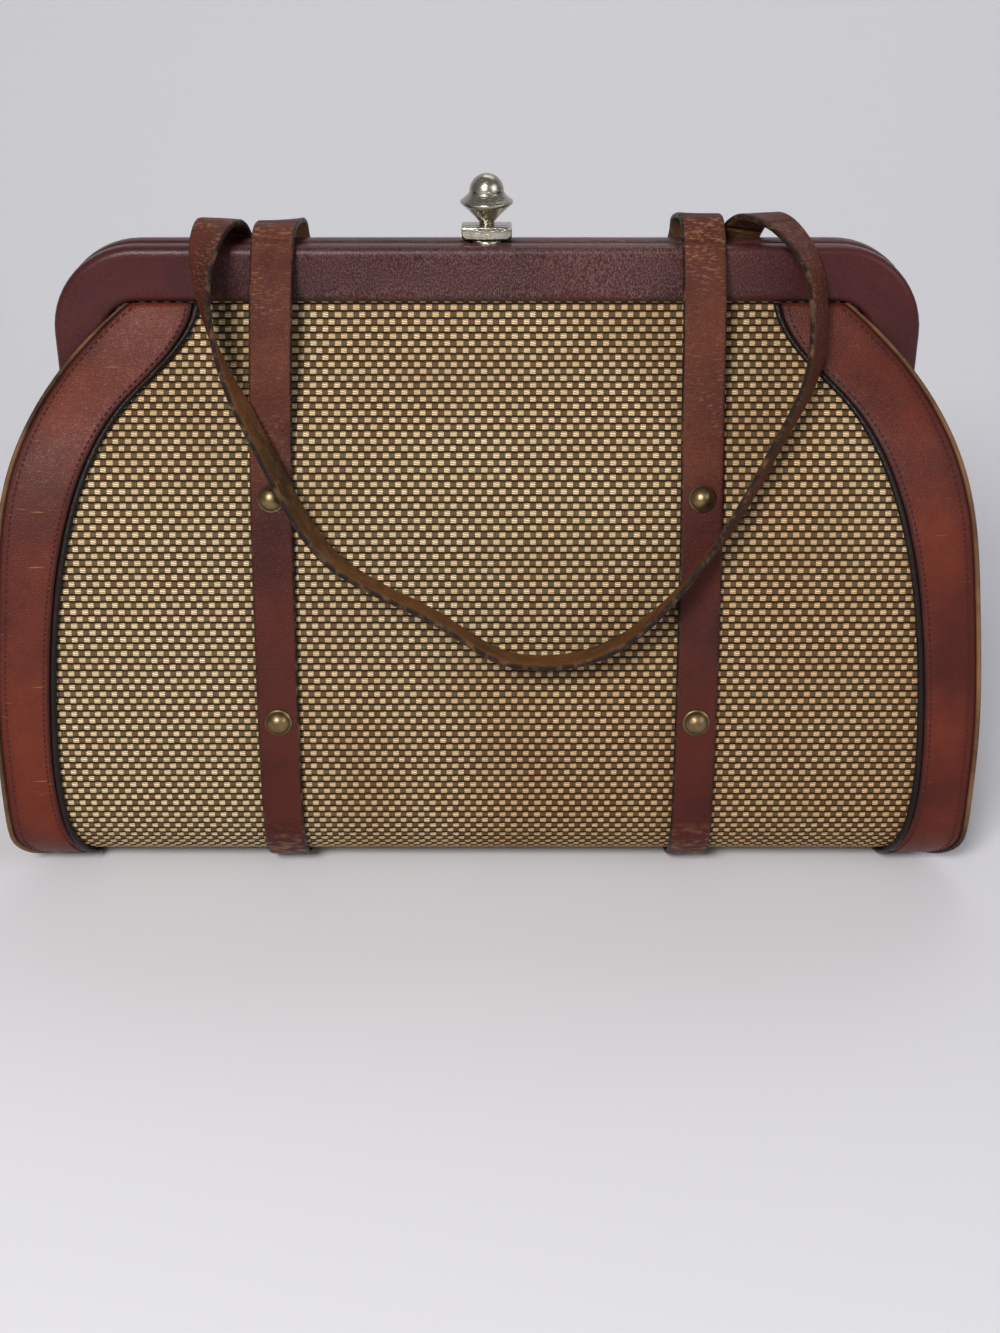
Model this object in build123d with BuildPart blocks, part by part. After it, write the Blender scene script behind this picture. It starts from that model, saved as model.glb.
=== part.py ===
from build123d import *
import os
from math import pi

# A framed handbag in the shape of a doctor's bag. Millimetres, +Z up, +X to the right seen from the front,
# -Y to the front. The origin is on the surface that the bag stands on, under the middle of the bag.

# Straps: two handles, each one strap whose ends run down the body and under it
strap_width = 14.0
strap_thickness = 2.0
strap_spacing = 140.0
strap_end_depth = 12.0

# Weave: rows of straw-like yarn that run across the body
row_pitch = 2.35
row_height = 0.4
weave_thickness = 1.2

# Clearances between layers that are sewn or glued on the real bag
layer_gap = 0.3
metal_gap = 0.1
pin_clearance = 0.05

# Body, seen from the side: how far the face stands out from the middle plane
base_height = strap_thickness + row_height + layer_gap
base_half_depth = 33.0
base_radius = 24.0
belly_depth = base_half_depth + base_radius
waist_depth, waist_height = 46.0, 100.0
shoulder_depth, shoulder_height = 30.0, 150.0

# Body, seen from the front: half the width of the side seam's outline
seam_half_width = 164.4
seam_straight_top = 52.0
seam_corner_radius = 16.0
seam_upper = [(161.2, 104.0), (153.0, 147.0), (137.5, 172.0)]
seam_top_half_width = 116.0

# Leather bands along the side seams
band_thickness = 1.4
band_top_width = 20.0
band_foot_width = 25.4
band_inner_line = [
    (seam_top_half_width - 17.0, 182.5),
    (seam_top_half_width + 4.0, 161.0),
    (seam_half_width - 26.9, 126.5),
    (seam_half_width - 17.8, 62.0),
    (seam_half_width - 20.4, 16.0),
]
band_wrap_under = 14.0
piping_width = 2.2
piping_height = 1.8

# Frame: two leather-covered halves, each an upturned U
frame_half_width = 142.5
frame_top = 210.0
frame_bar_height = 18.0
frame_arm_width = 17.0
frame_arm_end = 168.0
frame_half_thickness = 8.0
frame_split = 0.6
frame_corner_radius = 29.0
frame_edge_radius = 2.4
leather_on_steel = 2.0
steel_thickness = 4.0
cloth_tuck = 3.5
cloth_slot_width = 2.6

# Hinge at the ends of the frame's arms
hinge_height = 160.0
eye_radius = 5.0
eye_thickness = 2.0
pin_radius = 1.4
pin_head_radius = 3.0
pin_head_thickness = 1.2

# Clasp: a finial on a block that rocks on a pin. Its nose passes over a keeper on the front half.
block_width = 16.3
block_depth = 6.0
block_height = 4.8
block_front = -1.0
block_lift = 0.5
block_radius = 1.6
boss_width = 6.0
boss_depth = 4.0
clasp_pin_radius = 0.8
clasp_pin_height = 2.3
clasp_pin_y = 2.72
nose_width = 9.0
nose_reach = 2.4
nose_thickness = 1.1
keeper_radius = 4.6
keeper_thickness = 1.0
keeper_set_back = 0.9
knob_neck_radius = 2.5
knob_neck_height = 0.8
knob_waist_radius = 5.3
knob_waist_height = 4.4
knob_rim_radius = 8.6
knob_rim_height = 7.1
knob_rim_edge = 1.0
knob_shoulder_radius = 5.6
knob_shoulder_height = 10.2
knob_dome_height = 5.8
knob_tail_radius = 1.5
knob_tail_length = 0.7
knob_y = 2.2

# Brass studs that hold the straps
stud_radius = 4.6
stud_dome_height = 3.2
stud_flange = 0.5
stud_shank_radius = 1.5
stud_washer_radius = 3.5
stud_washer_thickness = 0.8
upper_stud_height = 135.0
lower_stud_height = 62.0

# Inside
board_thickness = 2.4
board_half_length = 142.0
lining_thickness = 0.6
lining_ease = 50.0
lining_steps = 16
gusset_thickness = 1.2
gusset_gap = 0.5
fold_least = 2.0
fold_growth = 27.0
fold_power = 1.4
fold_roundness = 0.985

band_top_inner = seam_top_half_width - band_top_width
band_foot_inner = seam_half_width - band_foot_width
frame_arm_inner = frame_half_width - frame_arm_width
frame_opening_top = frame_top - frame_bar_height
frame_inner_radius = frame_corner_radius - frame_bar_height
cloth_top = frame_opening_top + cloth_tuck
cloth_depth = frame_split / 2 + (frame_half_thickness + weave_thickness) / 2
strap_half_spacing = strap_spacing / 2
reach = 2 * seam_half_width
behind_bag = Plane.XZ.offset(-reach)


def side_line():
    """The body's face in the YZ plane, in front, from the frame down to the middle of the bottom."""
    top = Line((-cloth_depth, cloth_top), (-cloth_depth, frame_opening_top + layer_gap))
    face = Spline(
        top @ 1,
        (-shoulder_depth, shoulder_height),
        (-waist_depth, waist_height),
        (-belly_depth, base_height + base_radius),
        tangents=[(-0.3, -1), (0, -1)],
    )
    corner = RadiusArc(face @ 1, (-base_half_depth, base_height), -base_radius)
    Line(corner @ 1, (0, base_height))


with BuildLine() as face_line:
    side_line()
face_wire = face_line.wire()
face_length = face_wire.length
corner_end = face_length - base_half_depth
corner_start = corner_end - base_radius * pi / 2


def face_at(distance, outwards):
    """A point outwards from the face line, at a distance along it from the frame, as (y, z)."""
    point = face_wire.position_at(distance, position_mode=PositionMode.LENGTH)
    along = face_wire.tangent_at(distance, position_mode=PositionMode.LENGTH)
    return (point.X + along.Y * outwards, point.Y - along.X * outwards)


def distance_at(height, outwards=0.0):
    """How far down the face line a height is, measured along it. The face can be moved outwards first."""
    low, high = 0.0, corner_end
    while high - low > 0.001:
        middle = (low + high) / 2
        if face_at(middle, outwards)[1] > height:
            low = middle
        else:
            high = middle
    return low


def half_depth_at(height, outwards):
    """Half the body's depth at a height, on a layer outwards from its face."""
    return -face_at(distance_at(height, outwards), outwards)[0]


def face_layer(start, end, inner, outer):
    """A closed strip along the face line, between two distances out from it."""
    steps = max(2, round((end - start) / 12))
    places = [start + (end - start) * n / steps for n in range(steps + 1)]
    inner_edge = Spline(*[face_at(place, inner) for place in places])
    outer_edge = Spline(*[face_at(place, outer) for place in places])
    Line(inner_edge @ 0, outer_edge @ 0)
    Line(inner_edge @ 1, outer_edge @ 1)


def seam_line(inset=0.0):
    """The side seam in the XZ plane, on the right, from the frame down to the bottom."""
    top = Line((seam_top_half_width - inset, cloth_top), (seam_top_half_width - inset, frame_opening_top))
    curve = Spline(
        top @ 1,
        *[(x - inset, z) for x, z in reversed(seam_upper)],
        (seam_half_width - inset, seam_straight_top),
        tangents=[(1, -0.8), (0, -1)],
    )
    side = Line(curve @ 1, (seam_half_width - inset, base_height + seam_corner_radius))
    RadiusArc(side @ 1, (seam_half_width - seam_corner_radius - inset, base_height), seam_corner_radius)


with BuildLine() as seam:
    seam_line()
seam_wire = seam.wire()


def seam_at(height):
    """Half the width of the side seam's outline at a height."""
    low, high = 0.0, 1.0
    while high - low > 0.0001:
        middle = (low + high) / 2
        if seam_wire.position_at(middle).Y > height:
            low = middle
        else:
            high = middle
    return seam_wire.position_at(low).X


def band_inner_edge(beside=0.0):
    """The band's edge beside the weave, on the right, moved towards the middle of the bag."""
    edge = Spline(
        (band_top_inner - beside, frame_opening_top - layer_gap),
        *[(x - beside, z) for x, z in band_inner_line],
        (band_foot_inner - beside, 0),
        tangents=[(0, -1), (-0.3, -1)],
    )
    return edge


# Woven body: one cloth from the front half of the frame, under the bottom, to the rear half
first_row = distance_at(frame_opening_top - 1.0)
row_count = int((corner_end - first_row) / row_pitch)
front_rows = []
for row in range(row_count):
    place = first_row + row * row_pitch
    front_rows.append(face_at(place, 0))
    front_rows.append(face_at(place + row_pitch / 2, row_height))
front_rows.append(face_at(first_row + row_count * row_pitch, 0))
outer_half = [face_at(0, 0), *front_rows, (0, base_height)]
inner_steps = 28
inner_half = [face_at(face_length * n / inner_steps, -weave_thickness) for n in range(inner_steps + 1)]

with BuildPart() as body_wrap:
    with BuildSketch(Plane.YZ):
        with BuildLine():
            Polyline(*outer_half)
            inner_face = Spline(*inner_half)
            Line(inner_half[0], outer_half[0])
            mirror(about=Plane.YZ)
        make_face()
    extrude(amount=reach, both=True)
    with BuildSketch(behind_bag):
        with BuildLine():
            seam_line()
            mirror(about=Plane.YZ)
            Line((-seam_top_half_width, cloth_top), (seam_top_half_width, cloth_top))
            Polyline(
                (-seam_half_width + seam_corner_radius, base_height),
                (-seam_half_width + seam_corner_radius, 0),
                (seam_half_width - seam_corner_radius, 0),
                (seam_half_width - seam_corner_radius, base_height),
            )
        make_face()
    extrude(amount=2 * reach, mode=Mode.INTERSECT)


def stud_plane(side, front, height, outwards):
    """The plane on a strap's face at a stud, its normal out of the bag."""
    place = distance_at(height)
    y, z = face_at(place, outwards)
    out_y, out_z = face_at(place, outwards + 1)
    normal = (0, (out_y - y) * front, out_z - z)
    return Plane(origin=(side * strap_half_spacing, y * front, z), x_dir=(1, 0, 0), z_dir=normal)


strap_gap = row_height + layer_gap
strap_centre = strap_gap + strap_thickness / 2
strap_face = strap_gap + strap_thickness
stud_places = [
    (f"stud_{front_name}_{level}_{side_name}", side, front, height)
    for front, front_name in ((1, "front"), (-1, "back"))
    for level, height in (("upper", upper_stud_height), ("lower", lower_stud_height))
    for side, side_name in ((-1, "left"), (1, "right"))
]
hole_radius = stud_shank_radius + pin_clearance


def stud_holes(fronts):
    """Rods where the studs' shanks pass, to be cut from what they hold together."""
    with BuildPart() as rods:
        for _, side, front, height in stud_places:
            if front in fronts:
                with BuildSketch(stud_plane(side, front, height, strap_face)) as hole:
                    Circle(hole_radius)
                extrude(hole.sketch, amount=strap_face + weave_thickness + 2, both=True)
    return rods.part


with body_wrap:
    add(stud_holes((1, -1)), mode=Mode.SUBTRACT)

os.makedirs("parts", exist_ok=True)


def save(built, name):
    """Labels a finished piece and writes its file."""
    built.part.label = name
    export_step(built.part, f"parts/{name}.step")


# Gussets and the lining inside them: folded ends, each a loft of arcs from the front seam to the back one
def fold_depth(height, half_chord):
    """How far the end is folded in at a height: shallow at the foot, a half circle between the arms."""
    share = (height - base_height) / (hinge_height - base_height)
    return min(fold_least + fold_growth * share**fold_power, fold_roundness * half_chord)


def fold_arc(side, height, away):
    """The arc of an end panel at a height, moved into the bag by a distance: its two ends and its middle."""
    half_chord = half_depth_at(height, -weave_thickness - gusset_gap)
    depth = fold_depth(height, half_chord)
    radius = (half_chord**2 + depth**2) / (2 * depth)
    centre_x = seam_at(height) - layer_gap - depth + radius
    end_x = centre_x - ((radius + away) ** 2 - half_chord**2) ** 0.5
    middle_x = centre_x - radius - away
    return (side * end_x, -half_chord), (side * middle_x, 0), (side * end_x, half_chord)


def folded_end(side, away, thickness):
    """A thin folded end panel on one side of the bag."""
    sections = []
    for height in gusset_heights:
        with BuildSketch(Plane.XY.offset(height)) as section:
            with BuildLine():
                outer = ThreePointArc(*fold_arc(side, height, away))
                inner = ThreePointArc(*fold_arc(side, height, away + thickness))
                Line(outer @ 0, inner @ 0)
                Line(outer @ 1, inner @ 1)
            make_face()
        sections.append(section.sketch)
    loft(sections=sections, ruled=True)


def end_space(side, away):
    """Everything outboard of a folded end panel, to be cut from the lining of the front and back."""
    sections = []
    for height in gusset_heights:
        with BuildSketch(Plane.XY.offset(height)) as section:
            with BuildLine():
                fold = ThreePointArc(*fold_arc(side, height, away))
                end_x = (fold @ 0).X
                far_x = side * reach
                Polyline(fold @ 0, (end_x, -reach), (far_x, -reach), (far_x, reach), (end_x, reach), fold @ 1)
            make_face()
        sections.append(section.sketch)
    loft(sections=sections, ruled=True)


gusset_foot = base_height + weave_thickness + gusset_gap
gusset_heights = [gusset_foot, 6.5, 9, 13, 19, 30, 48, 70, 92, 112, 130, 145, 157, 168, 179, 190]
notch_half_width = cloth_depth - weave_thickness

# What the ends leave free: a slot for the frame's pivots, and room for its arms
with BuildPart() as mouth_notch:
    with BuildSketch(Plane.YZ):
        with Locations((0, hinge_height + notch_half_width)):
            Circle(notch_half_width)
            Rectangle(2 * notch_half_width, frame_top - hinge_height, align=(Align.CENTER, Align.MIN))
    extrude(amount=reach, both=True)

with BuildPart() as arm_room:
    with BuildSketch(Plane.XY.offset(frame_arm_end - layer_gap)):
        for side in (-1, 1):
            with Locations((side * (frame_arm_inner - layer_gap + frame_arm_width / 2), 0)):
                Rectangle(frame_arm_width, frame_split + 2 * (frame_half_thickness + layer_gap))
    extrude(amount=frame_top - frame_arm_end)

with body_wrap:
    add(arm_room.part, mode=Mode.SUBTRACT)
save(body_wrap, "body_wrap")

for side, side_name in ((-1, "left"), (1, "right")):
    with BuildPart() as gusset:
        folded_end(side, 0.0, gusset_thickness)
        add(mouth_notch.part, mode=Mode.SUBTRACT)
        add(arm_room.part, mode=Mode.SUBTRACT)
    save(gusset, f"gusset_{side_name}")

    with BuildPart() as lining_end:
        folded_end(side, gusset_thickness + layer_gap, lining_thickness)
        add(mouth_notch.part, mode=Mode.SUBTRACT)
        add(arm_room.part, mode=Mode.SUBTRACT)
    save(lining_end, f"lining_{side_name}")

# Lining of the front, bottom and back: close to the cloth at the frame, and over the board at the bottom
board_level = base_height + weave_thickness + layer_gap


def lining_place(distance, extra):
    """A point of the lining's section, with its distance from the cloth easing in below the frame."""
    ease = min(1.0, distance / lining_ease)
    away = weave_thickness + layer_gap + ease * (board_thickness + layer_gap) + extra
    return face_at(distance, -away)


lining_start = distance_at(frame_opening_top - layer_gap)
lining_step = (face_length - lining_start) / lining_steps
lining_places = [lining_start + lining_step * n for n in range(lining_steps + 1)]
with BuildPart() as lining_body:
    with BuildSketch(Plane.YZ):
        with BuildLine():
            outer_edge = Spline(*[lining_place(place, 0) for place in lining_places])
            inner_edge = Spline(*[lining_place(place, lining_thickness) for place in lining_places])
            Line(inner_edge @ 0, outer_edge @ 0)
            mirror(about=Plane.YZ)
        make_face()
    extrude(amount=reach, both=True)
    with BuildSketch(behind_bag):
        with BuildLine():
            lining_end_gap = gusset_thickness + lining_thickness + 2 * layer_gap
            seam_line(lining_end_gap)
            mirror(about=Plane.YZ)
            top_x = seam_top_half_width - lining_end_gap
            foot_x = seam_half_width - seam_corner_radius - lining_end_gap
            Line((-top_x, cloth_top), (top_x, cloth_top))
            Line((-foot_x, base_height), (foot_x, base_height))
        make_face()
    extrude(amount=2 * reach, mode=Mode.INTERSECT)
    for side in (-1, 1):
        with BuildPart(mode=Mode.PRIVATE) as beyond:
            end_space(side, gusset_thickness + lining_thickness + 2 * layer_gap)
        add(beyond.part, mode=Mode.SUBTRACT)
    add(arm_room.part, mode=Mode.SUBTRACT)
save(lining_body, "lining_body")

# Stiffener between the cloth's bottom and the lining
with BuildPart() as bottom_board:
    with BuildSketch(Plane.XY.offset(board_level)):
        RectangleRounded(2 * board_half_length, 2 * base_half_depth, 8)
    extrude(amount=board_thickness)
save(bottom_board, "bottom_board")

# Leather bands along the side seams, and the piping beside the weave
band_seat = row_height + layer_gap
band_start = distance_at(frame_opening_top - 1.0)
band_end = corner_end + band_wrap_under
for front, front_name in ((1, "front"), (-1, "back")):
    for side, side_name in ((-1, "left"), (1, "right")):
        with BuildPart() as band:
            with BuildSketch(Plane.YZ):
                with BuildLine():
                    face_layer(band_start, band_end, band_seat, band_seat + band_thickness)
                make_face()
            extrude(amount=reach, both=True)
            with BuildSketch(behind_bag):
                with BuildLine():
                    seam_line()
                    inner_edge = band_inner_edge()
                    Line((seam_top_half_width, cloth_top), (band_top_inner, cloth_top))
                    Line((band_top_inner, cloth_top), inner_edge @ 0)
                    foot_x = seam_half_width - seam_corner_radius
                    Line((foot_x, base_height), (foot_x, 0))
                    Line((foot_x, 0), inner_edge @ 1)
                make_face()
            extrude(amount=2 * reach, mode=Mode.INTERSECT)
            if front < 0:
                mirror(about=Plane.XZ, mode=Mode.REPLACE)
            if side < 0:
                mirror(about=Plane.YZ, mode=Mode.REPLACE)
        save(band, f"band_{front_name}_{side_name}")

        with BuildPart() as piping:
            with BuildSketch(Plane.YZ):
                with BuildLine():
                    face_layer(band_start, band_end, band_seat, band_seat + piping_height)
                make_face()
            extrude(amount=reach, both=True)
            with BuildSketch(behind_bag):
                with BuildLine():
                    near_band = band_inner_edge(metal_gap)
                    near_weave = band_inner_edge(metal_gap + piping_width)
                    Line(near_band @ 0, near_weave @ 0)
                    Line(near_band @ 1, near_weave @ 1)
                make_face()
            extrude(amount=2 * reach, mode=Mode.INTERSECT)
            if front < 0:
                mirror(about=Plane.XZ, mode=Mode.REPLACE)
            if side < 0:
                mirror(about=Plane.YZ, mode=Mode.REPLACE)
        save(piping, f"piping_{front_name}_{side_name}")


# Frame: each half is a steel bar bent to an upturned U, inside a leather cover, with a hinge eye at each end
def upturned_u(inset, foot):
    """The frame's U, drawn the same distance in from its edges all round, down to a height."""
    outer_x, outer_top = frame_half_width - inset, frame_top - inset
    inner_x, inner_top = frame_arm_inner + inset, frame_opening_top + inset
    outer_r, inner_r = frame_corner_radius - inset, frame_inner_radius + inset
    up = Line((outer_x, foot), (outer_x, outer_top - outer_r))
    bend = RadiusArc(up @ 1, (outer_x - outer_r, outer_top), -outer_r)
    Line(bend @ 1, (0, outer_top))
    rise = Line((inner_x, foot), (inner_x, inner_top - inner_r))
    inner_bend = RadiusArc(rise @ 1, (inner_x - inner_r, inner_top), -inner_r)
    Line(inner_bend @ 1, (0, inner_top))
    Line(up @ 0, rise @ 0)
    mirror(about=Plane.YZ)


def steel_eye(side, eye_centre_x, arm_depth):
    """A flat tab from an arm's steel down to the eye that turns on the hinge pin."""
    with BuildSketch(Plane.YZ.offset(side * eye_centre_x)) as tab:
        with Locations((0, hinge_height)):
            Circle(eye_radius)
        with Locations((-arm_depth, steel_foot)):
            Rectangle(steel_thickness, 1)
        make_hull()
        with Locations((0, hinge_height)):
            Circle(pin_radius + pin_clearance, mode=Mode.SUBTRACT)
    extrude(tab.sketch, amount=eye_thickness / 2, both=True)


half_depth = (frame_split + frame_half_thickness) / 2
front_eye_x = frame_half_width - frame_arm_width / 2 - eye_thickness / 2 - layer_gap
rear_eye_x = front_eye_x + eye_thickness + 2 * layer_gap
steel_foot = frame_arm_end - 1

with BuildPart() as front_frame_core:
    with BuildSketch(Plane.XZ.offset(half_depth)):
        with BuildLine():
            upturned_u(leather_on_steel + cloth_tuck, steel_foot)
        make_face()
    extrude(amount=steel_thickness / 2, both=True)
    for side in (-1, 1):
        steel_eye(side, front_eye_x, half_depth)
save(front_frame_core, "front_frame_core")

with BuildPart() as rear_frame_core:
    with BuildSketch(Plane.XZ.offset(half_depth)):
        with BuildLine():
            upturned_u(leather_on_steel + cloth_tuck, steel_foot)
        make_face()
    extrude(amount=steel_thickness / 2, both=True)
    for side in (-1, 1):
        steel_eye(side, rear_eye_x, half_depth)
    mirror(about=Plane.XZ, mode=Mode.REPLACE)
save(rear_frame_core, "rear_frame_core")

with BuildPart() as frame_cover:
    with BuildSketch(Plane.XZ.offset(frame_split / 2)):
        with BuildLine():
            upturned_u(0, frame_arm_end)
        make_face()
    extrude(amount=frame_half_thickness)
    show_face = frame_cover.faces().sort_by(Axis.Y)[0]
    fillet(show_face.edges(), frame_edge_radius)
    with BuildSketch(Plane.XZ.offset(half_depth)):
        with BuildLine():
            upturned_u(leather_on_steel + cloth_tuck - metal_gap, frame_arm_end - 2)
        make_face()
    extrude(amount=steel_thickness / 2 + metal_gap, both=True, mode=Mode.SUBTRACT)
    with BuildSketch(Plane.XY.offset(frame_opening_top - 1)):
        with Locations((0, -half_depth)):
            Rectangle(2 * (seam_top_half_width + layer_gap), cloth_slot_width)
    extrude(amount=cloth_tuck + layer_gap + 1, mode=Mode.SUBTRACT)
save(frame_cover, "front_frame_cover")

with BuildPart() as rear_frame_cover:
    add(frame_cover.part)
    mirror(about=Plane.XZ, mode=Mode.REPLACE)
save(rear_frame_cover, "rear_frame_cover")

# Hinge pins: headed rivets through both eyes
grip_start = front_eye_x - eye_thickness / 2 - layer_gap
grip_end = rear_eye_x + eye_thickness / 2 + layer_gap
for side, side_name in ((-1, "left"), (1, "right")):
    with BuildPart() as hinge_pin:
        with BuildSketch(Plane.YZ.offset(side * (grip_start - pin_head_thickness))) as head:
            with Locations((0, hinge_height)):
                Circle(pin_head_radius)
        extrude(head.sketch, amount=side * pin_head_thickness)
        with BuildSketch(Plane.YZ.offset(side * grip_end)) as tail:
            with Locations((0, hinge_height)):
                Circle(pin_head_radius)
        extrude(tail.sketch, amount=side * pin_head_thickness)
        with BuildSketch(Plane.YZ.offset(side * (grip_start - pin_head_thickness))) as shank:
            with Locations((0, hinge_height)):
                Circle(pin_radius)
        extrude(shank.sketch, amount=side * (grip_end - grip_start + pin_head_thickness))
    save(hinge_pin, f"hinge_pin_{side_name}")


def dome_radius(foot_radius, height):
    """The radius of the ball that a dome of this foot and height is a cap of."""
    return (foot_radius**2 + height**2) / (2 * height)


# The clasp's boss and pin on the rear half, and the block and finial that rock on them
pin_z = frame_top + clasp_pin_height
boss_room = clasp_pin_height + boss_depth / 2 + layer_gap
block_foot = frame_top + block_lift
block_top = block_foot + block_height

with BuildPart() as clasp_boss:
    with BuildSketch(Plane.YZ):
        with Locations((clasp_pin_y, frame_top)):
            Rectangle(boss_depth, clasp_pin_height, align=(Align.CENTER, Align.MIN))
        with Locations((clasp_pin_y, pin_z)):
            Circle(boss_depth / 2)
            Circle(clasp_pin_radius + metal_gap / 2, mode=Mode.SUBTRACT)
    extrude(amount=boss_width / 2, both=True)
save(clasp_boss, "clasp_boss")

with BuildPart() as clasp_pin:
    with BuildSketch(Plane.YZ):
        with Locations((clasp_pin_y, pin_z)):
            Circle(clasp_pin_radius)
    extrude(amount=block_width / 2 - layer_gap, both=True)
save(clasp_pin, "clasp_pin")

with BuildPart() as clasp_block:
    with BuildSketch(Plane.YZ):
        with Locations((block_front, block_foot)):
            Rectangle(block_depth, block_height, align=(Align.MIN, Align.MIN))
    extrude(amount=block_width / 2, both=True)
    fillet(clasp_block.edges().filter_by(Axis.X).group_by(Axis.Z)[0], block_radius)
    fillet(clasp_block.edges().filter_by(Axis.Z), block_radius / 2)
    fillet(clasp_block.faces().sort_by(Axis.Z)[-1].edges(), block_radius / 3)
    with BuildSketch(Plane.XY.offset(frame_top + keeper_thickness + layer_gap)):
        with Locations((0, block_front + block_radius)):
            Rectangle(nose_width, nose_reach + block_radius, align=(Align.CENTER, Align.MAX))
    extrude(amount=nose_thickness)
    with BuildSketch(Plane.YZ):
        with Locations((clasp_pin_y, frame_top)):
            Rectangle(2 * block_depth, boss_room, align=(Align.CENTER, Align.MIN))
    extrude(amount=boss_width / 2 + layer_gap, both=True, mode=Mode.SUBTRACT)
    with BuildSketch(Plane.YZ):
        with Locations((clasp_pin_y, pin_z)):
            Circle(clasp_pin_radius + metal_gap / 2)
    extrude(amount=block_width, both=True, mode=Mode.SUBTRACT)
    with BuildSketch(Plane.XY.offset(block_top)):
        with Locations((0, knob_y)):
            Circle(knob_tail_radius + metal_gap / 2)
    extrude(amount=-block_height, mode=Mode.SUBTRACT)
save(clasp_block, "clasp_block")

with BuildPart() as clasp_knob:
    with BuildSketch(Plane.YZ) as finial:
        with BuildLine():
            foot = Polyline(
                (0, -knob_tail_length),
                (knob_tail_radius, -knob_tail_length),
                (knob_tail_radius, 0),
                (knob_neck_radius, 0),
                (knob_neck_radius, knob_neck_height),
            )
            cup = Spline(
                foot @ 1,
                (knob_waist_radius, knob_waist_height),
                (knob_rim_radius, knob_rim_height - knob_rim_edge / 2),
                tangents=[(0.25, 1), (1, 0.55)],
            )
            rim = Line(cup @ 1, (knob_rim_radius, knob_rim_height + knob_rim_edge / 2))
            hip = Line(rim @ 1, (knob_shoulder_radius, knob_shoulder_height))
            dome_top = (0, knob_shoulder_height + knob_dome_height)
            RadiusArc(hip @ 1, dome_top, -dome_radius(knob_shoulder_radius, knob_dome_height))
            Line(dome_top, foot @ 0)
        make_face()
    revolve(axis=Axis.Z)
    finial_edges = clasp_knob.edges().filter_by(GeomType.CIRCLE)
    rim_edges = [edge for edge in finial_edges if abs(edge.radius - knob_rim_radius) < 0.01]
    fillet(rim_edges, knob_rim_edge / 3)
clasp_knob.part.position = (0, knob_y, block_top)
save(clasp_knob, "clasp_knob")

with BuildPart() as clasp_keeper:
    with BuildSketch(Plane.XY.offset(frame_top)):
        with Locations((0, -keeper_set_back)):
            Circle(keeper_radius)
            Rectangle(
                2 * keeper_radius + 1, keeper_radius + 1, align=(Align.CENTER, Align.MIN), mode=Mode.SUBTRACT
            )
    extrude(amount=keeper_thickness)
    fillet(clasp_keeper.faces().sort_by(Axis.Z)[-1].edges().filter_by(GeomType.CIRCLE), keeper_thickness / 2)
save(clasp_keeper, "clasp_keeper")

# Studs: a dome on the strap's face, a shank through strap and cloth, and a washer riveted on inside
for name, side, front, height in stud_places:
    seat = stud_plane(side, front, height, strap_face + metal_gap / 2)
    through = strap_face + weave_thickness + metal_gap
    with BuildPart() as stud:
        with BuildSketch(Plane(origin=seat.origin, x_dir=seat.x_dir, z_dir=-seat.y_dir)) as profile:
            with BuildLine():
                Polyline(
                    (0, stud_dome_height),
                    (0, -through - stud_washer_thickness),
                    (stud_washer_radius, -through - stud_washer_thickness),
                    (stud_washer_radius, -through),
                    (stud_shank_radius, -through),
                    (stud_shank_radius, 0),
                    (stud_radius, 0),
                    (stud_radius, stud_flange),
                    (stud_radius - stud_flange, stud_flange),
                )
                foot_radius = stud_radius - stud_flange
                crown = dome_radius(foot_radius, stud_dome_height - stud_flange)
                RadiusArc((foot_radius, stud_flange), (0, stud_dome_height), -crown)
            make_face()
        revolve(profile.sketch, axis=Axis(seat.origin, seat.z_dir))
    save(stud, name)


# Handles: the straps' free stretches, as points that the middle of the strap passes. Beside each point is the
# way from the strap's far edge to its near one, which turns the strap about its length.
left_edge, right_edge = (-1, 0, 0), (1, 0, 0)
loop_edge = (0, -1, 0.2)
hidden_loop_edge = (0, -1, -0.2)
front_handle_route = [
    ((-69.7, -24.5, 174), left_edge),
    ((-69.0, -12.2, 204), left_edge),
    ((-68.6, -9.6, 210.8), left_edge),
    ((-68.2, -2.0, 215.0), left_edge),
    ((-66.8, 9.5, 213.0), (-0.9, -0.3, 0)),
    ((-63.5, 16.0, 204.5), (-0.5, -0.8, 0)),
    ((-61.0, 20.5, 192), (-0.2, -1, -0.2)),
    ((-57.5, 29.0, 173), hidden_loop_edge),
    ((-51.5, 40.0, 151), hidden_loop_edge),
    ((-40.0, 49.0, 126), hidden_loop_edge),
    ((-22.0, 55.0, 102), hidden_loop_edge),
    ((0.0, 58.5, 89), hidden_loop_edge),
    ((22.0, 57.0, 94.5), hidden_loop_edge),
    ((40.0, 51.2, 118), hidden_loop_edge),
    ((51.5, 41.8, 147), hidden_loop_edge),
    ((58.0, 30.0, 171), hidden_loop_edge),
    ((62.0, 21.0, 192), (0.2, -1, -0.2)),
    ((65.0, 16.5, 205.5), (0.5, -0.8, 0)),
    ((68.0, 9.5, 214.5), (0.9, -0.3, 0)),
    ((69.3, -1.5, 217.6), right_edge),
    ((70.0, -12.3, 204), right_edge),
    ((70.0, -24.5, 174), right_edge),
]
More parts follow.
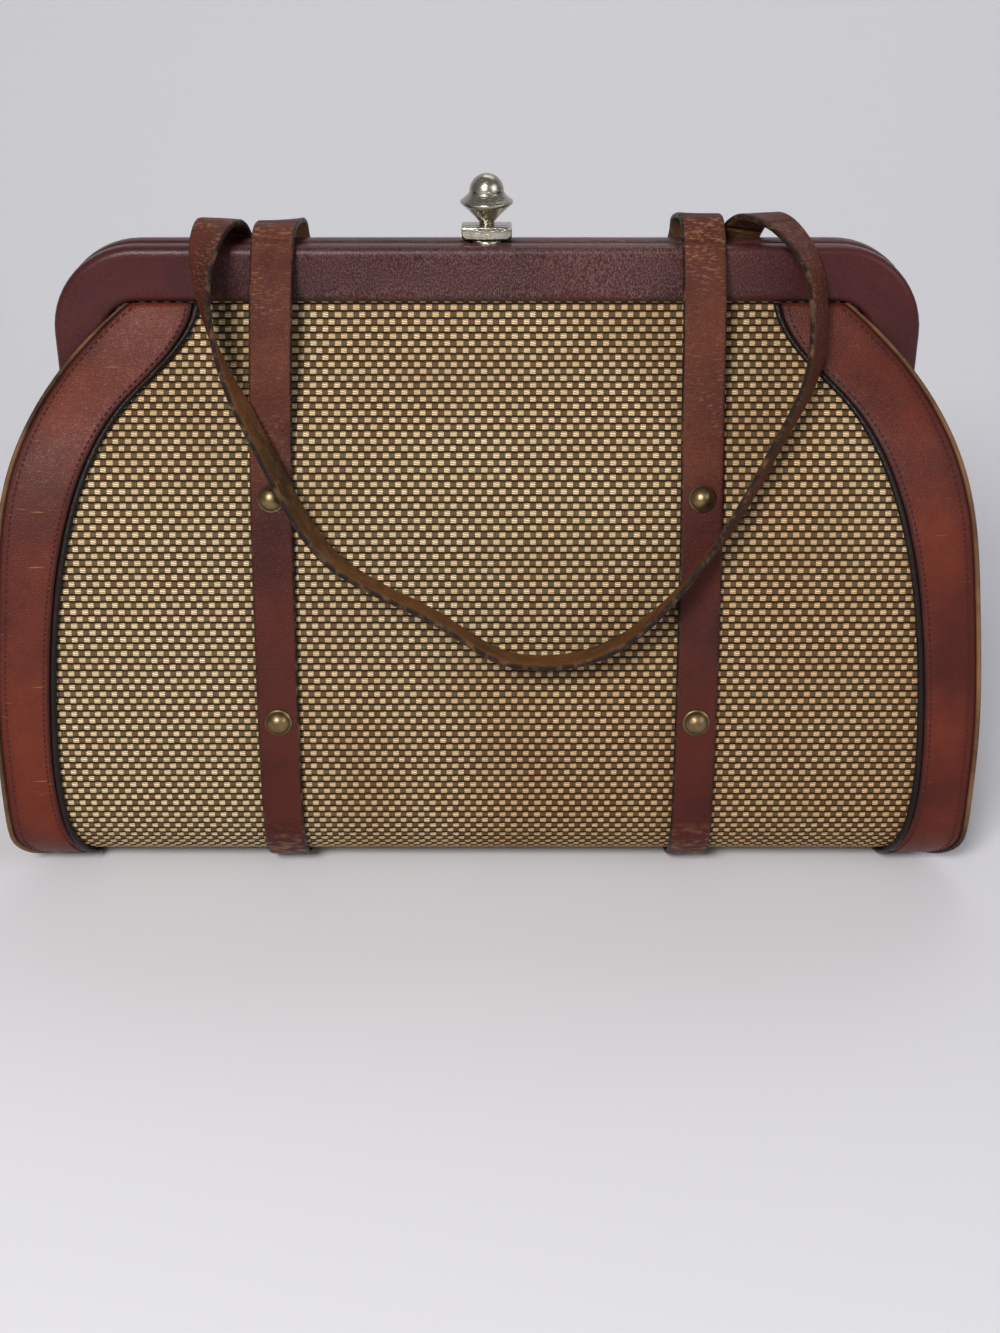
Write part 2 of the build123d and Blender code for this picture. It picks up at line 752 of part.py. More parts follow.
back_handle_route = [
    ((-75.5, 24.5, 173), right_edge),
    ((-82.0, 14.0, 199), right_edge),
    ((-84.2, 10.3, 208.3), (1, -0.05, 0)),
    ((-85.2, 5.0, 214.3), (1, -0.1, 0)),
    ((-87.0, -3.0, 216.8), (1, -0.3, 0)),
    ((-89.3, -12.0, 212.5), (0.8, -0.55, 0.2)),
    ((-90.6, -17.5, 203.0), (0.5, -0.8, 0.3)),
    ((-89.7, -21.0, 193.7), (0.3, -0.9, 0.3)),
    ((-86.0, -27.0, 181.0), (0.1, -1, 0.3)),
    ((-78.3, -36.5, 166.5), loop_edge),
    ((-66.7, -46.5, 146.3), loop_edge),
    ((-49.9, -53.5, 120.8), loop_edge),
    ((-28.0, -56.5, 107.5), loop_edge),
    ((-13.1, -57.5, 99.3), loop_edge),
    ((4.0, -58.5, 88.4), loop_edge),
    ((20.3, -58.5, 85.8), loop_edge),
    ((39.0, -58.0, 90.3), loop_edge),
    ((59.3, -56.0, 106.6), loop_edge),
    ((76.6, -50.5, 127.8), loop_edge),
    ((95.1, -38.5, 158.2), loop_edge),
    ((103.9, -30.0, 174.5), (-0.1, -1, 0.3)),
    ((105.8, -23.0, 191.3), (-0.3, -0.9, 0.3)),
    ((103.6, -17.3, 205.9), (-0.55, -0.8, 0.3)),
    ((96.0, -10.4, 216.0), (-0.8, -0.5, 0.2)),
    ((89.0, -1.0, 218.5), (-1, -0.25, 0)),
    ((84.5, 8.0, 213.0), (-1, -0.1, 0)),
    ((81.0, 14.0, 200), left_edge),
    ((75.5, 24.5, 173), left_edge),
]
lift_off_height = upper_stud_height + 9.0
sections_per_stretch = 2
strap_step = 11.0
strap_corner_steps = 9


def strap_section(middle, forward, edge):
    """The plane of the strap's section: its width lies along the edge's way, its finished side along +Y."""
    along = Vector(*forward).normalized()
    finished = along.cross(Vector(*edge)).normalized()
    return Plane(origin=middle, x_dir=finished.cross(along), z_dir=along)


def strap_on_body(side, front):
    """Sections of a strap where it lies on the body, from its end under the bag up to where it lifts off."""
    start, end = face_length - strap_end_depth, distance_at(lift_off_height)
    steps = round((corner_start - end) / strap_step)
    upright = [corner_start + (end - corner_start) * n / steps for n in range(1, steps + 1)]
    corner_step = (corner_start - corner_end) / strap_corner_steps
    corner = [corner_end + corner_step * n for n in range(strap_corner_steps + 1)]
    planes = []
    for place in [start, *corner, *upright]:
        y, z = face_at(place, strap_centre)
        ahead_y, ahead_z = face_at(place - 0.5, strap_centre)
        middle = Vector(side * strap_half_spacing, y * front, z)
        forward = Vector(0, (ahead_y - y) * front, ahead_z - z)
        planes.append((middle, forward))
    return planes


def strap(front, route):
    """One whole strap: up one side of the body, round its free loop, and down the other side."""
    first = strap_on_body(-1, front)
    last = strap_on_body(1, front)
    edge_up, edge_down = (left_edge, right_edge) if front > 0 else (right_edge, left_edge)
    planes = [strap_section(middle, forward, edge_up) for middle, forward in first]
    stops = [first[-1][0], *[Vector(*point) for point, _ in route], last[-1][0]]
    edges = [Vector(*edge_up), *[Vector(*edge) for _, edge in route], Vector(*edge_down)]
    with BuildLine(mode=Mode.PRIVATE):
        middle_line = Spline(*stops, tangents=[first[-1][1], -last[-1][1]])
    marks = [middle_line.param_at_point(stop) for stop in stops]
    for n in range(len(stops) - 1):
        for step in range(sections_per_stretch):
            share = step / sections_per_stretch
            if n + step == 0:
                continue
            mark = marks[n] + (marks[n + 1] - marks[n]) * share
            edge = edges[n] * (1 - share) + edges[n + 1] * share
            planes.append(strap_section(middle_line.position_at(mark), middle_line.tangent_at(mark), edge))
    planes += [strap_section(middle, -forward, edge_down) for middle, forward in reversed(last)]
    sections = []
    for plane in planes:
        with BuildSketch(plane) as section:
            Rectangle(strap_width, strap_thickness)
        sections.append(section.sketch)
    loft(sections=sections, ruled=True)


for front, route, name in ((1, front_handle_route, "front_strap"), (-1, back_handle_route, "back_strap")):
    with BuildPart() as handle:
        strap(front, route)
        add(stud_holes((front,)), mode=Mode.SUBTRACT)
    save(handle, name)
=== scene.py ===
# %% [markdown]
# A small framed handbag: a woven body with leather bands at its ends, two leather-covered frame halves
# that hinge at the ends of their arms, a turned finial clasp, and two long limp strap handles. The solids
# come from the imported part, and this script builds the looks around them, piece by piece.

# %% Load the frame
import functools
import math

import bmesh
import bpy
import numpy as np
from mathutils import Matrix, Vector, noise


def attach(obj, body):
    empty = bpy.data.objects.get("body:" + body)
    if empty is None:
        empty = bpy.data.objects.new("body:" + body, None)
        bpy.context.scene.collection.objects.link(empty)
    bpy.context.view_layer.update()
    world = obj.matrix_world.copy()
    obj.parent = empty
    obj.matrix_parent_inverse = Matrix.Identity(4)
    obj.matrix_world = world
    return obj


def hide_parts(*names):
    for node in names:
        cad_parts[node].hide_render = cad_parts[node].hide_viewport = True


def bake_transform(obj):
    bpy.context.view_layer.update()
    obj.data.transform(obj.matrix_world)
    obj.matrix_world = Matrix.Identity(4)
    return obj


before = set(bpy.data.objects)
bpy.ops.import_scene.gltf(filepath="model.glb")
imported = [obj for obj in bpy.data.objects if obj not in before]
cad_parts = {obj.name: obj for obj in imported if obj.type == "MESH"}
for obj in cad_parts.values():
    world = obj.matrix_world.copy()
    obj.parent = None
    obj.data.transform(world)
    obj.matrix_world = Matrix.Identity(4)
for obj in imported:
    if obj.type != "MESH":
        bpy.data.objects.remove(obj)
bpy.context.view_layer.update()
MM = 0.001

# %% [markdown]
# Finishes first. A material could be wired by hand, node by node, but its maths reads best as ordinary
# arithmetic. So one small class wraps a socket and turns Python's operators into Math nodes, and another holds a
# material's nodes and knows the few kinds of pattern that this bag needs.


# %% Shader maths
class Wire:
    """A socket whose value Python's operators can work with."""

    def __init__(self, bench, socket):
        self.bench, self.socket = bench, socket

    def maths(self, operation, *values):
        return self.bench.node("ShaderNodeMath", {"operation": operation}, values)

    def __add__(self, other):
        return self.maths("ADD", self, other)

    def __mul__(self, other):
        return self.maths("MULTIPLY", self, other)

    def __sub__(self, other):
        return self.maths("SUBTRACT", self, other)

    def __rsub__(self, other):
        return self.maths("SUBTRACT", other, self)

    __radd__, __rmul__ = __add__, __mul__

    def floor(self):
        return self.maths("FLOOR", self)

    def part(self):
        return self.maths("FRACT", self)

    def size(self):
        return self.maths("ABSOLUTE", self)

    def wave(self):
        """A sine that goes round once as the value rises by 1, from 0 to 1."""
        return self.maths("SINE", self * (2 * math.pi)) * 0.5 + 0.5

    def rise(self, low, high):
        """0 below low, 1 above high, and smooth between them."""
        settings = {"interpolation_type": "SMOOTHSTEP"}
        return self.bench.node("ShaderNodeMapRange", settings, {0: self, 1: low, 2: high})


class Bench:
    """The nodes of one material."""

    def __init__(self, name):
        self.material = bpy.data.materials.new(name)
        self.material.use_nodes = True
        self.tree = self.material.node_tree
        self.shader = self.tree.nodes["Principled BSDF"]

    def node(self, kind, settings=None, sockets=(), output=0):
        made = self.tree.nodes.new(kind)
        for key, value in (settings or {}).items():
            setattr(made, key, value)
        pairs = sockets.items() if isinstance(sockets, dict) else enumerate(sockets)
        for key, value in pairs:
            self.join(value, made.inputs[key])
        return Wire(self, made.outputs[output])

    def join(self, value, socket):
        if isinstance(value, Wire):
            self.tree.links.new(value.socket, socket)
        elif isinstance(value, tuple) and socket.type == "RGBA":
            socket.default_value = (*value, 1)
        else:
            socket.default_value = value

    def mix(self, share, first, second, how="MIX"):
        settings = {"data_type": "RGBA", "blend_type": how}
        return self.node("ShaderNodeMix", settings, {0: share, 6: first, 7: second}, output=2)

    def place(self, stretch=(1, 1, 1)):
        """Object coordinates, stretched."""
        point = self.node("ShaderNodeTexCoord", output="Object")
        return self.node("ShaderNodeVectorMath", {"operation": "MULTIPLY"}, [point, stretch])

    def axis(self, point, letter):
        """One coordinate of a point: X, Y or Z."""
        return self.node("ShaderNodeSeparateXYZ", None, [point], output=letter)

    def cut(self):
        """The piece's own UV map, as two wires."""
        point = self.node("ShaderNodeUVMap", {"uv_map": "cut"})
        return self.axis(point, "X"), self.axis(point, "Y")

    def cloud(self, where, scale, detail=3.0, roughness=0.55):
        """Soft noise from 0 to 1."""
        sockets = {"Vector": where, "Scale": scale, "Detail": detail, "Roughness": roughness}
        return self.node("ShaderNodeTexNoise", None, sockets)

    def cells(self, where, scale):
        """0 on the walls between small rounded cells, and more towards their middles."""
        return self.node("ShaderNodeTexVoronoi", {"feature": "DISTANCE_TO_EDGE"}, {"Vector": where, "Scale": scale})

    def bump(self, height, depth, strength):
        """A normal from a height between 0 and 1, with the depth in millimetres."""
        return self.node("ShaderNodeBump", None, {"Strength": strength, "Distance": depth * MM, "Height": height})

    def done(self, **sockets):
        """Joins the shader's sockets, and gives the finished material."""
        for key, value in sockets.items():
            self.join(value, self.shader.inputs[key.replace("_", " ")])
        print("finish", self.material.name, "has", len(self.tree.nodes), "nodes")
        return self.material


# %% [markdown]
# The body is a coarse basket weave of straw-like yarn. Seen close, each row is a run of raised cream cells with
# darker cells between them, the next row is shifted by one cell, and a near-black line of painted shade lies in the
# gap between the rows. The cream strands carry painted shade between them and a painted highlight on their crowns.
# The UV map counts pairs of cells across and rows down, so the pattern is worked out from it and follows the cloth.


# %% Woven straw
def woven_straw():
    bench = Bench("woven_straw")
    where = bench.place()
    column, row = bench.cut()
    column = column + (bench.cloud(where, 160.0, 1.0) - 0.5) * 0.10
    row = row + (bench.cloud(bench.place((1, 1, 2)), 90.0, 1.0) - 0.5) * 0.10
    line = row.floor()
    shifted = column + line * 0.5
    across, down = shifted.part(), row.part()
    cell = bench.node("ShaderNodeCombineXYZ", None, [shifted.floor(), line, 0.5])
    settings = {"noise_dimensions": "3D"}
    chance = bench.node("ShaderNodeTexWhiteNoise", settings, [cell])
    shade = bench.node("ShaderNodeTexWhiteNoise", settings, [cell], output="Color")
    shade = bench.node("ShaderNodeSeparateColor", None, [shade])
    # Where the raised cream cell lies in its pair of cells, and where the yarn lies between two rows
    width = 0.50 + chance * 0.08
    side = across.rise(0.0, 0.06) * (1 - (across - width).rise(-0.05, 0.02))
    level = down.rise(0.09, 0.28) * (1 - down.rise(0.78, 0.95))
    cream = side * level
    # The strands run slantwise on the cream cells and upright on the dark ones
    strand = (down * 3.0 - across * 0.8).wave()
    upright = (across * 7.0 + chance * 3.0).wave()
    # The cream strands are real, but their colour runs from painted shade between them to a near-white painted
    # highlight on their crowns
    pale = bench.mix(strand * 0.9 + 0.1, (0.20, 0.112, 0.045), (1.0, 0.78, 0.48))
    patches = bench.cloud(where, 28.0, 4.0).rise(0.42, 0.72)
    pale = bench.mix(patches * 0.45, pale, (0.44, 0.27, 0.125))
    pale = bench.mix(chance.rise(0.70, 1.0) * 0.25, pale, (0.55, 0.43, 0.20))
    pale = bench.mix(shade.rise(0.2, 1.0) * 0.38, pale, (0.42, 0.28, 0.14))
    dull = bench.mix(chance.rise(0.25, 0.75), (0.075, 0.043, 0.019), (0.080, 0.062, 0.028))
    dull = bench.mix(upright * 0.45, dull, (0.21, 0.145, 0.078))
    # Between the rows the colour falls to near black: painted shade down in the gaps between rows
    colour = bench.mix(cream, bench.mix(level, (0.016, 0.008, 0.003), dull), pale)
    # Broad reddish stains, as handling leaves them
    stain = bench.cloud(bench.place((1, 1, 0.6)), 9.0, 3.0).rise(0.40, 0.68)
    colour = bench.mix(stain * 0.5, colour, (0.72, 0.48, 0.30), "MULTIPLY")
    height = cream * (0.62 + strand * 0.38) + (1 - side) * level * (0.30 + upright * 0.22)
    rough = 0.56 + (1 - cream) * 0.25
    normal = bench.bump(height, 0.5, 0.9)
    return bench.done(Base_Color=colour, Roughness=rough, Normal=normal, Specular_IOR_Level=0.15)


STRAW = woven_straw()

# %% [markdown]
# The leathers share one recipe. Broad clouds of two colours stand for the uneven dye, cell-shaped bumps for the
# grain, and thin stretched noise for scratches. What differs is the colours and how glossy the finish is. The
# bands also darken towards their cut edges, which the UV map across the piece gives, and the frame's leather gets
# painted glints: fine pale grey grains along the middle of its bar, which stand in for highlights.


# %% Leather
LEATHER_SHINE = 0.19
CUT_EDGE = (0.030, 0.008, 0.007)


def leather(name, main, shade, worn, gloss, relief=0.12, rim=None, painted_glints=None):
    bench = Bench(name)
    where = bench.place()
    dye = bench.cloud(where, 22.0, 4.0).rise(0.35, 0.68)
    fine = bench.cloud(where, 160.0, 5.0, 0.7)
    colour = bench.mix(dye, main, shade)
    colour = bench.mix(fine.rise(0.35, 0.75) * 0.35, colour, shade)
    scratch = bench.cloud(bench.place((1, 3, 14)), 70.0, 2.0).rise(0.70, 0.76)
    colour = bench.mix(scratch * 0.5, colour, worn)
    height = bench.cells(where, 1500.0).rise(0.0, 0.28) * 0.6 + fine * 0.5
    if rim:
        # The section starts at the middle of its finished side, so the cut edges lie a quarter of the way round
        _, around = bench.cut()
        edge = (0.5 - (around - 0.5).size()).rise(*rim)
        patchy = bench.cloud(where, 60.0, 3.0).rise(0.30, 0.60)
        colour = bench.mix(edge * (0.45 + patchy * 0.5), colour, CUT_EDGE)
        outer = around.rise(0.07, 0.20) * (1 - around.rise(0.24, 0.26))
        colour = bench.mix(outer * (0.35 + dye * 0.4), colour, shade)
        height = height - edge * 0.5
    if painted_glints:
        # Painted glints: fine pale grey grains, most of them along the middle of the bar, in place of highlights
        glint_grains = bench.cloud(bench.place((1, 1, 0.6)), 2300.0, 3.0, 0.6).rise(0.42, 0.66)
        spread = bench.cloud(where, 12.0, 2.0).rise(0.35, 0.65) * 0.5 + 0.5
        middle = 1 - bench.axis(where, "X").size().rise(0.045, 0.115)
        colour = bench.mix(glint_grains * spread * (middle * 0.34 + 0.05), colour, painted_glints)
    rough = gloss + fine * 0.22 + scratch * 0.2
    normal = bench.bump(height, relief, 0.7)
    return bench.done(Base_Color=colour, Roughness=rough, Normal=normal, Specular_IOR_Level=LEATHER_SHINE)


BAND = leather(
    "band_leather", (0.118, 0.020, 0.0085), (0.054, 0.008, 0.005), (0.36, 0.16, 0.08), 0.30, rim=(0.19, 0.225)
)
# The frame's leather carries painted glints along the middle of its bar
COVER = leather(
    "frame_leather", (0.062, 0.012, 0.013), (0.034, 0.008, 0.009), (0.12, 0.05, 0.04), 0.22, 0.05,
    painted_glints=(0.22, 0.18, 0.17),
)
PIPING = leather("piping_leather", (0.012, 0.007, 0.006), (0.006, 0.004, 0.004), (0.06, 0.03, 0.02), 0.22)
SEAM = leather("seam_edge", (0.022, 0.010, 0.007), (0.200, 0.100, 0.045), (0.36, 0.21, 0.11), 0.34)

# %% [markdown]
# The handles need a recipe of their own, because all four sides of a strap show. Its section goes once round the
# UV map: finished side, cut edge, flesh side, cut edge. The finished side is a darker red below, where it is
# studded flat, and warmer, duller and crossed by pale creases above, where hands have bent it.


# %% Strap leather
# The shares of the way round where the finished side ends, and where the flesh side starts and ends
FINISHED_END, FLESH_START, FLESH_END = 0.435, 0.5, 0.935
EDGE_SOFT = 0.022


def edge_share(around):
    """1 on a strap's two cut edges."""
    first = around.rise(FINISHED_END - EDGE_SOFT, FINISHED_END + EDGE_SOFT)
    first = first * (1 - around.rise(FLESH_START - EDGE_SOFT, FLESH_START + EDGE_SOFT))
    last = around.rise(FLESH_END - EDGE_SOFT, FLESH_END + EDGE_SOFT)
    return first + last + (1 - around.rise(0.0, EDGE_SOFT))


def strap_leather(name, warm_light, warm_dark):
    bench = Bench(name)
    where = bench.place()
    lift = bench.axis(where, "Z")
    _, around = bench.cut()
    dye = bench.cloud(where, 26.0, 4.0).rise(0.34, 0.66)
    fine = bench.cloud(where, 190.0, 5.0, 0.7)
    # The finished side, with a scuffed foot where the bag is set down
    upper = (lift + (fine - 0.5) * 0.02).rise(0.128, 0.150)
    lower = bench.mix(dye, (0.034, 0.005, 0.0035), (0.066, 0.010, 0.005))
    finished = bench.mix(upper, lower, bench.mix(dye, warm_light, warm_dark))
    finished = bench.mix(fine.rise(0.40, 0.78) * 0.45, finished, (0.060, 0.013, 0.010))
    scuff = bench.cloud(bench.place((1, 1, 3)), 210.0, 4.0).rise(0.48, 0.62) * (1 - lift.rise(0.004, 0.030))
    finished = bench.mix(scuff * 0.6, finished, (0.34, 0.165, 0.085))
    # The flesh side and the burnished edges
    flesh = bench.mix(dye, (0.145, 0.052, 0.012), (0.045, 0.021, 0.008))
    flesh = bench.mix(fine.rise(0.42, 0.72) * 0.5, flesh, (0.19, 0.11, 0.042))
    inner = around.rise(FINISHED_END, FINISHED_END + 0.01) * (1 - around.rise(FLESH_END - 0.01, FLESH_END))
    colour = bench.mix(inner, finished, flesh)
    on_edge = edge_share(around)
    burnish = bench.cloud(where, 260.0, 3.0).rise(0.48, 0.70)
    burnish = bench.mix(burnish, (0.011, 0.006, 0.005), (0.090, 0.050, 0.024))
    colour = bench.mix(on_edge, colour, burnish)
    # Pale creases across the upper stretch, most of all over the frame
    bent = bench.cloud(where, 70.0, 3.0).rise(0.36, 0.62) * upper * (lift.rise(0.185, 0.205) * 0.5 + 0.5)
    crease = bench.cloud(bench.place((1, 1, 4)), 480.0, 4.0, 0.62).rise(0.50, 0.62)
    colour = bench.mix(crease * 0.62 * bent * (1 - on_edge), colour, (0.27, 0.125, 0.065))
    height = bench.cells(where, 1400.0).rise(0.0, 0.3) * 0.6 + fine * 0.7 - crease * 0.6 * upper
    rough = 0.40 + fine * 0.2 + inner * 0.28 - on_edge * 0.12
    normal = bench.bump(height, 0.18, 0.8)
    return bench.done(Base_Color=colour, Roughness=rough, Normal=normal, Specular_IOR_Level=LEATHER_SHINE)


STRAP = strap_leather("strap_leather", (0.098, 0.023, 0.010), (0.062, 0.013, 0.007))
# The back handle's leather is the front one's made a little darker: painted shade
SHADED_BACK_STRAP = strap_leather("shaded_back_strap_leather", (0.088, 0.021, 0.011), (0.048, 0.010, 0.007))

# %% [markdown]
# The metals are plain conductors with what time adds: clouds in the roughness, hairline scratches, and a brown
# film in patches, heaviest on the brass.


# %% Metals
def metal(name, bright, film, gloss, scratches):
    bench = Bench(name)
    stain = bench.cloud(bench.place(), 240.0, 4.0)
    hair = bench.cloud(bench.place((1, 1, 18)), 420.0, 2.0).rise(0.55, 0.75)
    colour = bench.mix(stain.rise(0.42, 0.80) * 0.65, bright, film)
    normal = bench.bump(stain * 0.6 + hair * scratches, 0.05, 0.6)
    return bench.done(Base_Color=colour, Metallic=1.0, Roughness=gloss + stain * 0.18 + hair * 0.1, Normal=normal)


NICKEL = metal("nickel", (0.46, 0.43, 0.36), (0.20, 0.175, 0.125), 0.15, 0.8)
BRASS = metal("brass", (0.245, 0.175, 0.088), (0.085, 0.055, 0.026), 0.27, 0.5)
STEEL = metal("steel", (0.46, 0.46, 0.47), (0.30, 0.30, 0.31), 0.34, 0.6)

# %% [markdown]
# The thread, the lining and the board need little: two crossed waves for the threads, and a soft cloud of soil.


# %% Thread, lining and board
def cloth(name, light, dark, threads):
    bench = Bench(name)
    where = bench.place((threads, threads, threads))
    weave = bench.axis(where, "X").wave() * 0.5 + bench.axis(where, "Z").wave() * 0.5
    soil = bench.cloud(bench.place(), 30.0, 4.0)
    colour = bench.mix(weave * 0.6 + soil * 0.4, dark, light)
    return bench.done(Base_Color=colour, Roughness=0.9, Normal=bench.bump(weave, 0.1, 0.5), Specular_IOR_Level=0.1)


THREAD = cloth("stitching_thread", (0.095, 0.026, 0.024), (0.030, 0.009, 0.009), 2500.0)
LINING = cloth("lining_cloth", (0.46, 0.33, 0.21), (0.33, 0.22, 0.13), 1400.0)
BOARD = cloth("board", (0.33, 0.29, 0.24), (0.25, 0.22, 0.18), 500.0)

# %% [markdown]
# Every soft panel here is a grid of faces laid on a worked-out surface: the operator makes the grid, and each
# point then moves to its place. A strap or a band is a grid too, rolled up so that its two long edges meet, with
# its ends closed. Cloth simulation would be the other way, but all of these are stretched or studded down.


# %% Laying grids
def finish_piece(mesh, name, material):
    """Turns a bmesh into a smooth-shaded object at the origin, with its material."""
    data = bpy.data.meshes.new(name)
    mesh.to_mesh(data)
    mesh.free()
    data.shade_smooth()
    piece = bpy.data.objects.new(name, data)
    bpy.context.scene.collection.objects.link(piece)
    piece.data.materials.append(material)
    print(name, "has", len(data.polygons), "faces")
    return piece


def laid_grid(columns, rows, place, cells=(1.0, 1.0), rolled=False):
    """A grid whose points go where place(u, v) says, in millimetres, with u and v from 0 to 1."""
    mesh = bmesh.new()
    bmesh.ops.create_grid(mesh, x_segments=columns, y_segments=rows, size=0.5)
    cut = mesh.loops.layers.uv.new("cut")
    for face in mesh.faces:
        for loop in face.loops:
            here = loop.vert.co
            loop[cut].uv = ((here.x + 0.5) * cells[0], (here.y + 0.5) * cells[1])
    for point in mesh.verts:
        point.co = Vector(place(point.co.x + 0.5, point.co.y + 0.5)) * MM
    if rolled:
        rim = [point for point in mesh.verts if point.is_boundary]
        bmesh.ops.remove_doubles(mesh, verts=rim, dist=1e-6)
        ends = [edge for edge in mesh.edges if edge.is_boundary]
        bmesh.ops.holes_fill(mesh, edges=ends, sides=0)
        bmesh.ops.recalc_face_normals(mesh, faces=mesh.faces)
    return mesh


def face_outwards(mesh, outwards):
    """Turns an open sheet's faces so that they look along a direction on the whole."""
    total = sum((face.normal * face.calc_area() for face in mesh.faces), Vector())
    if total.dot(Vector(outwards)) < 0:
        bmesh.ops.reverse_faces(mesh, faces=mesh.faces)


def area_of(mesh):
    """The area of all faces, in square metres."""
    return sum(face.calc_area() for face in mesh.faces)


# %% [markdown]
# A pattern maker draws a few points and runs a smooth curve through them. Blender's own curves could do that too,
# but the pieces have to ask for the point at a distance along a line, so the curve is worked out here.


# %% Smooth lines
def smooth_line(stops, first_way, last_way, fine=24):
    """Points of a smooth curve through the stops that leaves and arrives in the ways given."""
    stops = np.array(stops, float)
    gaps = np.linalg.norm(np.diff(stops, axis=0), axis=1)
    count = len(stops)
    system, known = np.eye(count), np.zeros_like(stops)
    known[0] = np.array(first_way, float) / np.linalg.norm(first_way)
    known[-1] = np.array(last_way, float) / np.linalg.norm(last_way)
    for n in range(1, count - 1):
        before, after = gaps[n - 1], gaps[n]
        system[n, n - 1 : n + 2] = after, 2 * (before + after), before
        step_in, step_out = stops[n] - stops[n - 1], stops[n + 1] - stops[n]
        known[n] = 3 * (step_in * after / before + step_out * before / after)
    ways = np.linalg.solve(system, known)
    t = np.linspace(0, 1, fine, endpoint=False)[:, None]
    line = []
    for n in range(count - 1):
        rise = 3 * t**2 - 2 * t**3
        line.append(
            (1 - rise) * stops[n]
            + rise * stops[n + 1]
            + gaps[n] * (t**3 - 2 * t**2 + t) * ways[n]
            + gaps[n] * (t**3 - t**2) * ways[n + 1]
        )
    return np.vstack([*line, stops[-1:]])


def arc(centre, radius, start, end, steps=16):
    """Points of an arc between two angles in degrees."""
    angles = np.radians(np.linspace(start, end, steps + 1))
    return np.array(centre) + radius * np.column_stack([np.cos(angles), np.sin(angles)])


class Track:
    """A line that can be asked for its point, or for the way that it runs, at a distance along it."""

    def __init__(self, points):
        points = np.array(points, float)
        steps = np.linalg.norm(np.diff(points, axis=0), axis=1)
        keep = np.concatenate([[True], steps > 1e-6])
        self.points = points[keep]
        steps = np.linalg.norm(np.diff(self.points, axis=0), axis=1)
        self.marks = np.concatenate([[0], np.cumsum(steps)])
        self.length = float(self.marks[-1])

    def at(self, distance):
        return np.array([np.interp(distance, self.marks, column) for column in self.points.T])

    def way(self, distance, reach=0.8):
        step = self.at(min(distance + reach, self.length)) - self.at(max(distance - reach, 0))
        return step / np.linalg.norm(step)


print("a quarter circle of radius 10 measures", round(Track(arc((0, 0), 10, 0, 90)).length, 2))

# %% [markdown]
# The lines that everything follows are the bag's face seen from the side, from the frame down to the middle of
# the bottom, the outline of its side seam seen from the front, and the inner edge of the bands. They have the
# same values as the solids, in millimetres.

# %% The bag's own lines
WEAVE_PERIOD, ROW_PITCH, ROW_HEIGHT, LAYER_GAP = 4.0, 2.35, 0.4, 0.3
WEAVE_THICKNESS, GUSSET_THICKNESS, LINING_THICKNESS, BOARD_THICKNESS = 1.2, 1.2, 0.6, 2.4
STRAP_WIDTH, STRAP_THICKNESS, STRAP_X = 14.0, 2.0, 70.0
FRAME_TOP, FRAME_UNDER, FRAME_END, FRAME_ARM_END = 210.0, 192.0, 142.5, 168.0
BASE = STRAP_THICKNESS + ROW_HEIGHT + LAYER_GAP
FLAT_HALF, FOOT_RADIUS = 33.0, 24.0
CLOTH_DEPTH, CLOTH_TOP = 4.9, 195.5
SEAM_TOP, SEAM_HALF, SEAM_RADIUS = 116.0, 164.4, 16.0

face_bend = smooth_line(
    [(CLOTH_DEPTH, FRAME_UNDER + LAYER_GAP), (30, 150), (46, 100), (FLAT_HALF + FOOT_RADIUS, BASE + FOOT_RADIUS)],
    (0.3, -1),
    (0, -1),
)
face = Track(
    [
        (CLOTH_DEPTH, CLOTH_TOP),
        *face_bend,
        *arc((FLAT_HALF, BASE + FOOT_RADIUS), FOOT_RADIUS, 0, -90),
        (0, BASE),
    ]
)
FLAT_START = face.length - FLAT_HALF


@functools.cache
def face_point(distance, out=0.0):
    """(depth, height, depth of the outward way, height of the outward way) on the bag's face."""
    depth, height = face.at(distance)
    down = face.way(distance)
    return depth - down[1] * out, height + down[0] * out, -down[1], down[0]


seam_bend = smooth_line(
    [(SEAM_TOP, FRAME_UNDER), (137.5, 172.0), (153.0, 147.0), (161.2, 104.0), (SEAM_HALF, 52.0)],
    (1, -0.8),
    (0, -1),
)
seam = Track(
    [
        (SEAM_TOP, CLOTH_TOP),
        *seam_bend,
        *arc((SEAM_HALF - SEAM_RADIUS, BASE + SEAM_RADIUS), SEAM_RADIUS, 0, -90),
    ]
)
band_edge = Track(
    smooth_line(
        [(96.0, 191.7), (99.0, 182.5), (120.0, 161.0), (137.5, 126.5), (146.6, 62.0), (144.0, 16.0), (139.0, 0.0)],
        (0, -1),
        (-0.3, -1),
    )
)


def across_at(track, height):
    """How far from the middle a line is at a height."""
    return float(np.interp(-height, -track.points[:, 1], track.points[:, 0]))


def distance_at(height, out=0.0):
    """How far down the face a height is."""
    low, high = 0.0, FLAT_START
    while high - low > 0.01:
        middle = (low + high) / 2
        if face_point(middle, out)[1] > height:
            low = middle
        else:
            high = middle
    return low


print("face line", round(face.length, 1), "mm, of which the flat bottom is", FLAT_HALF)

# %% [markdown]
# When the bag opens, each frame half turns about the hinge at the ends of its arms, and the cloth between the
# hinge and the frame bends with it. Each soft piece could ride on one body, but then it would tear from its
# neighbours. So here the soft pieces are joined to no body: their places are baked into their meshes, and the
# solids that they stand for are hidden. The hard pieces ride on one body each.

# %% Joining pieces to the bag's bodies
HALVES = ((1, "front"), (-1, "back"))
SIDES = ((-1, "left"), (1, "right"))
CORNERS = [(front, side, f"{half}_{name}") for front, half in HALVES for side, name in SIDES]
FRAME_OF = {1: "front_frame", -1: "rear_frame"}


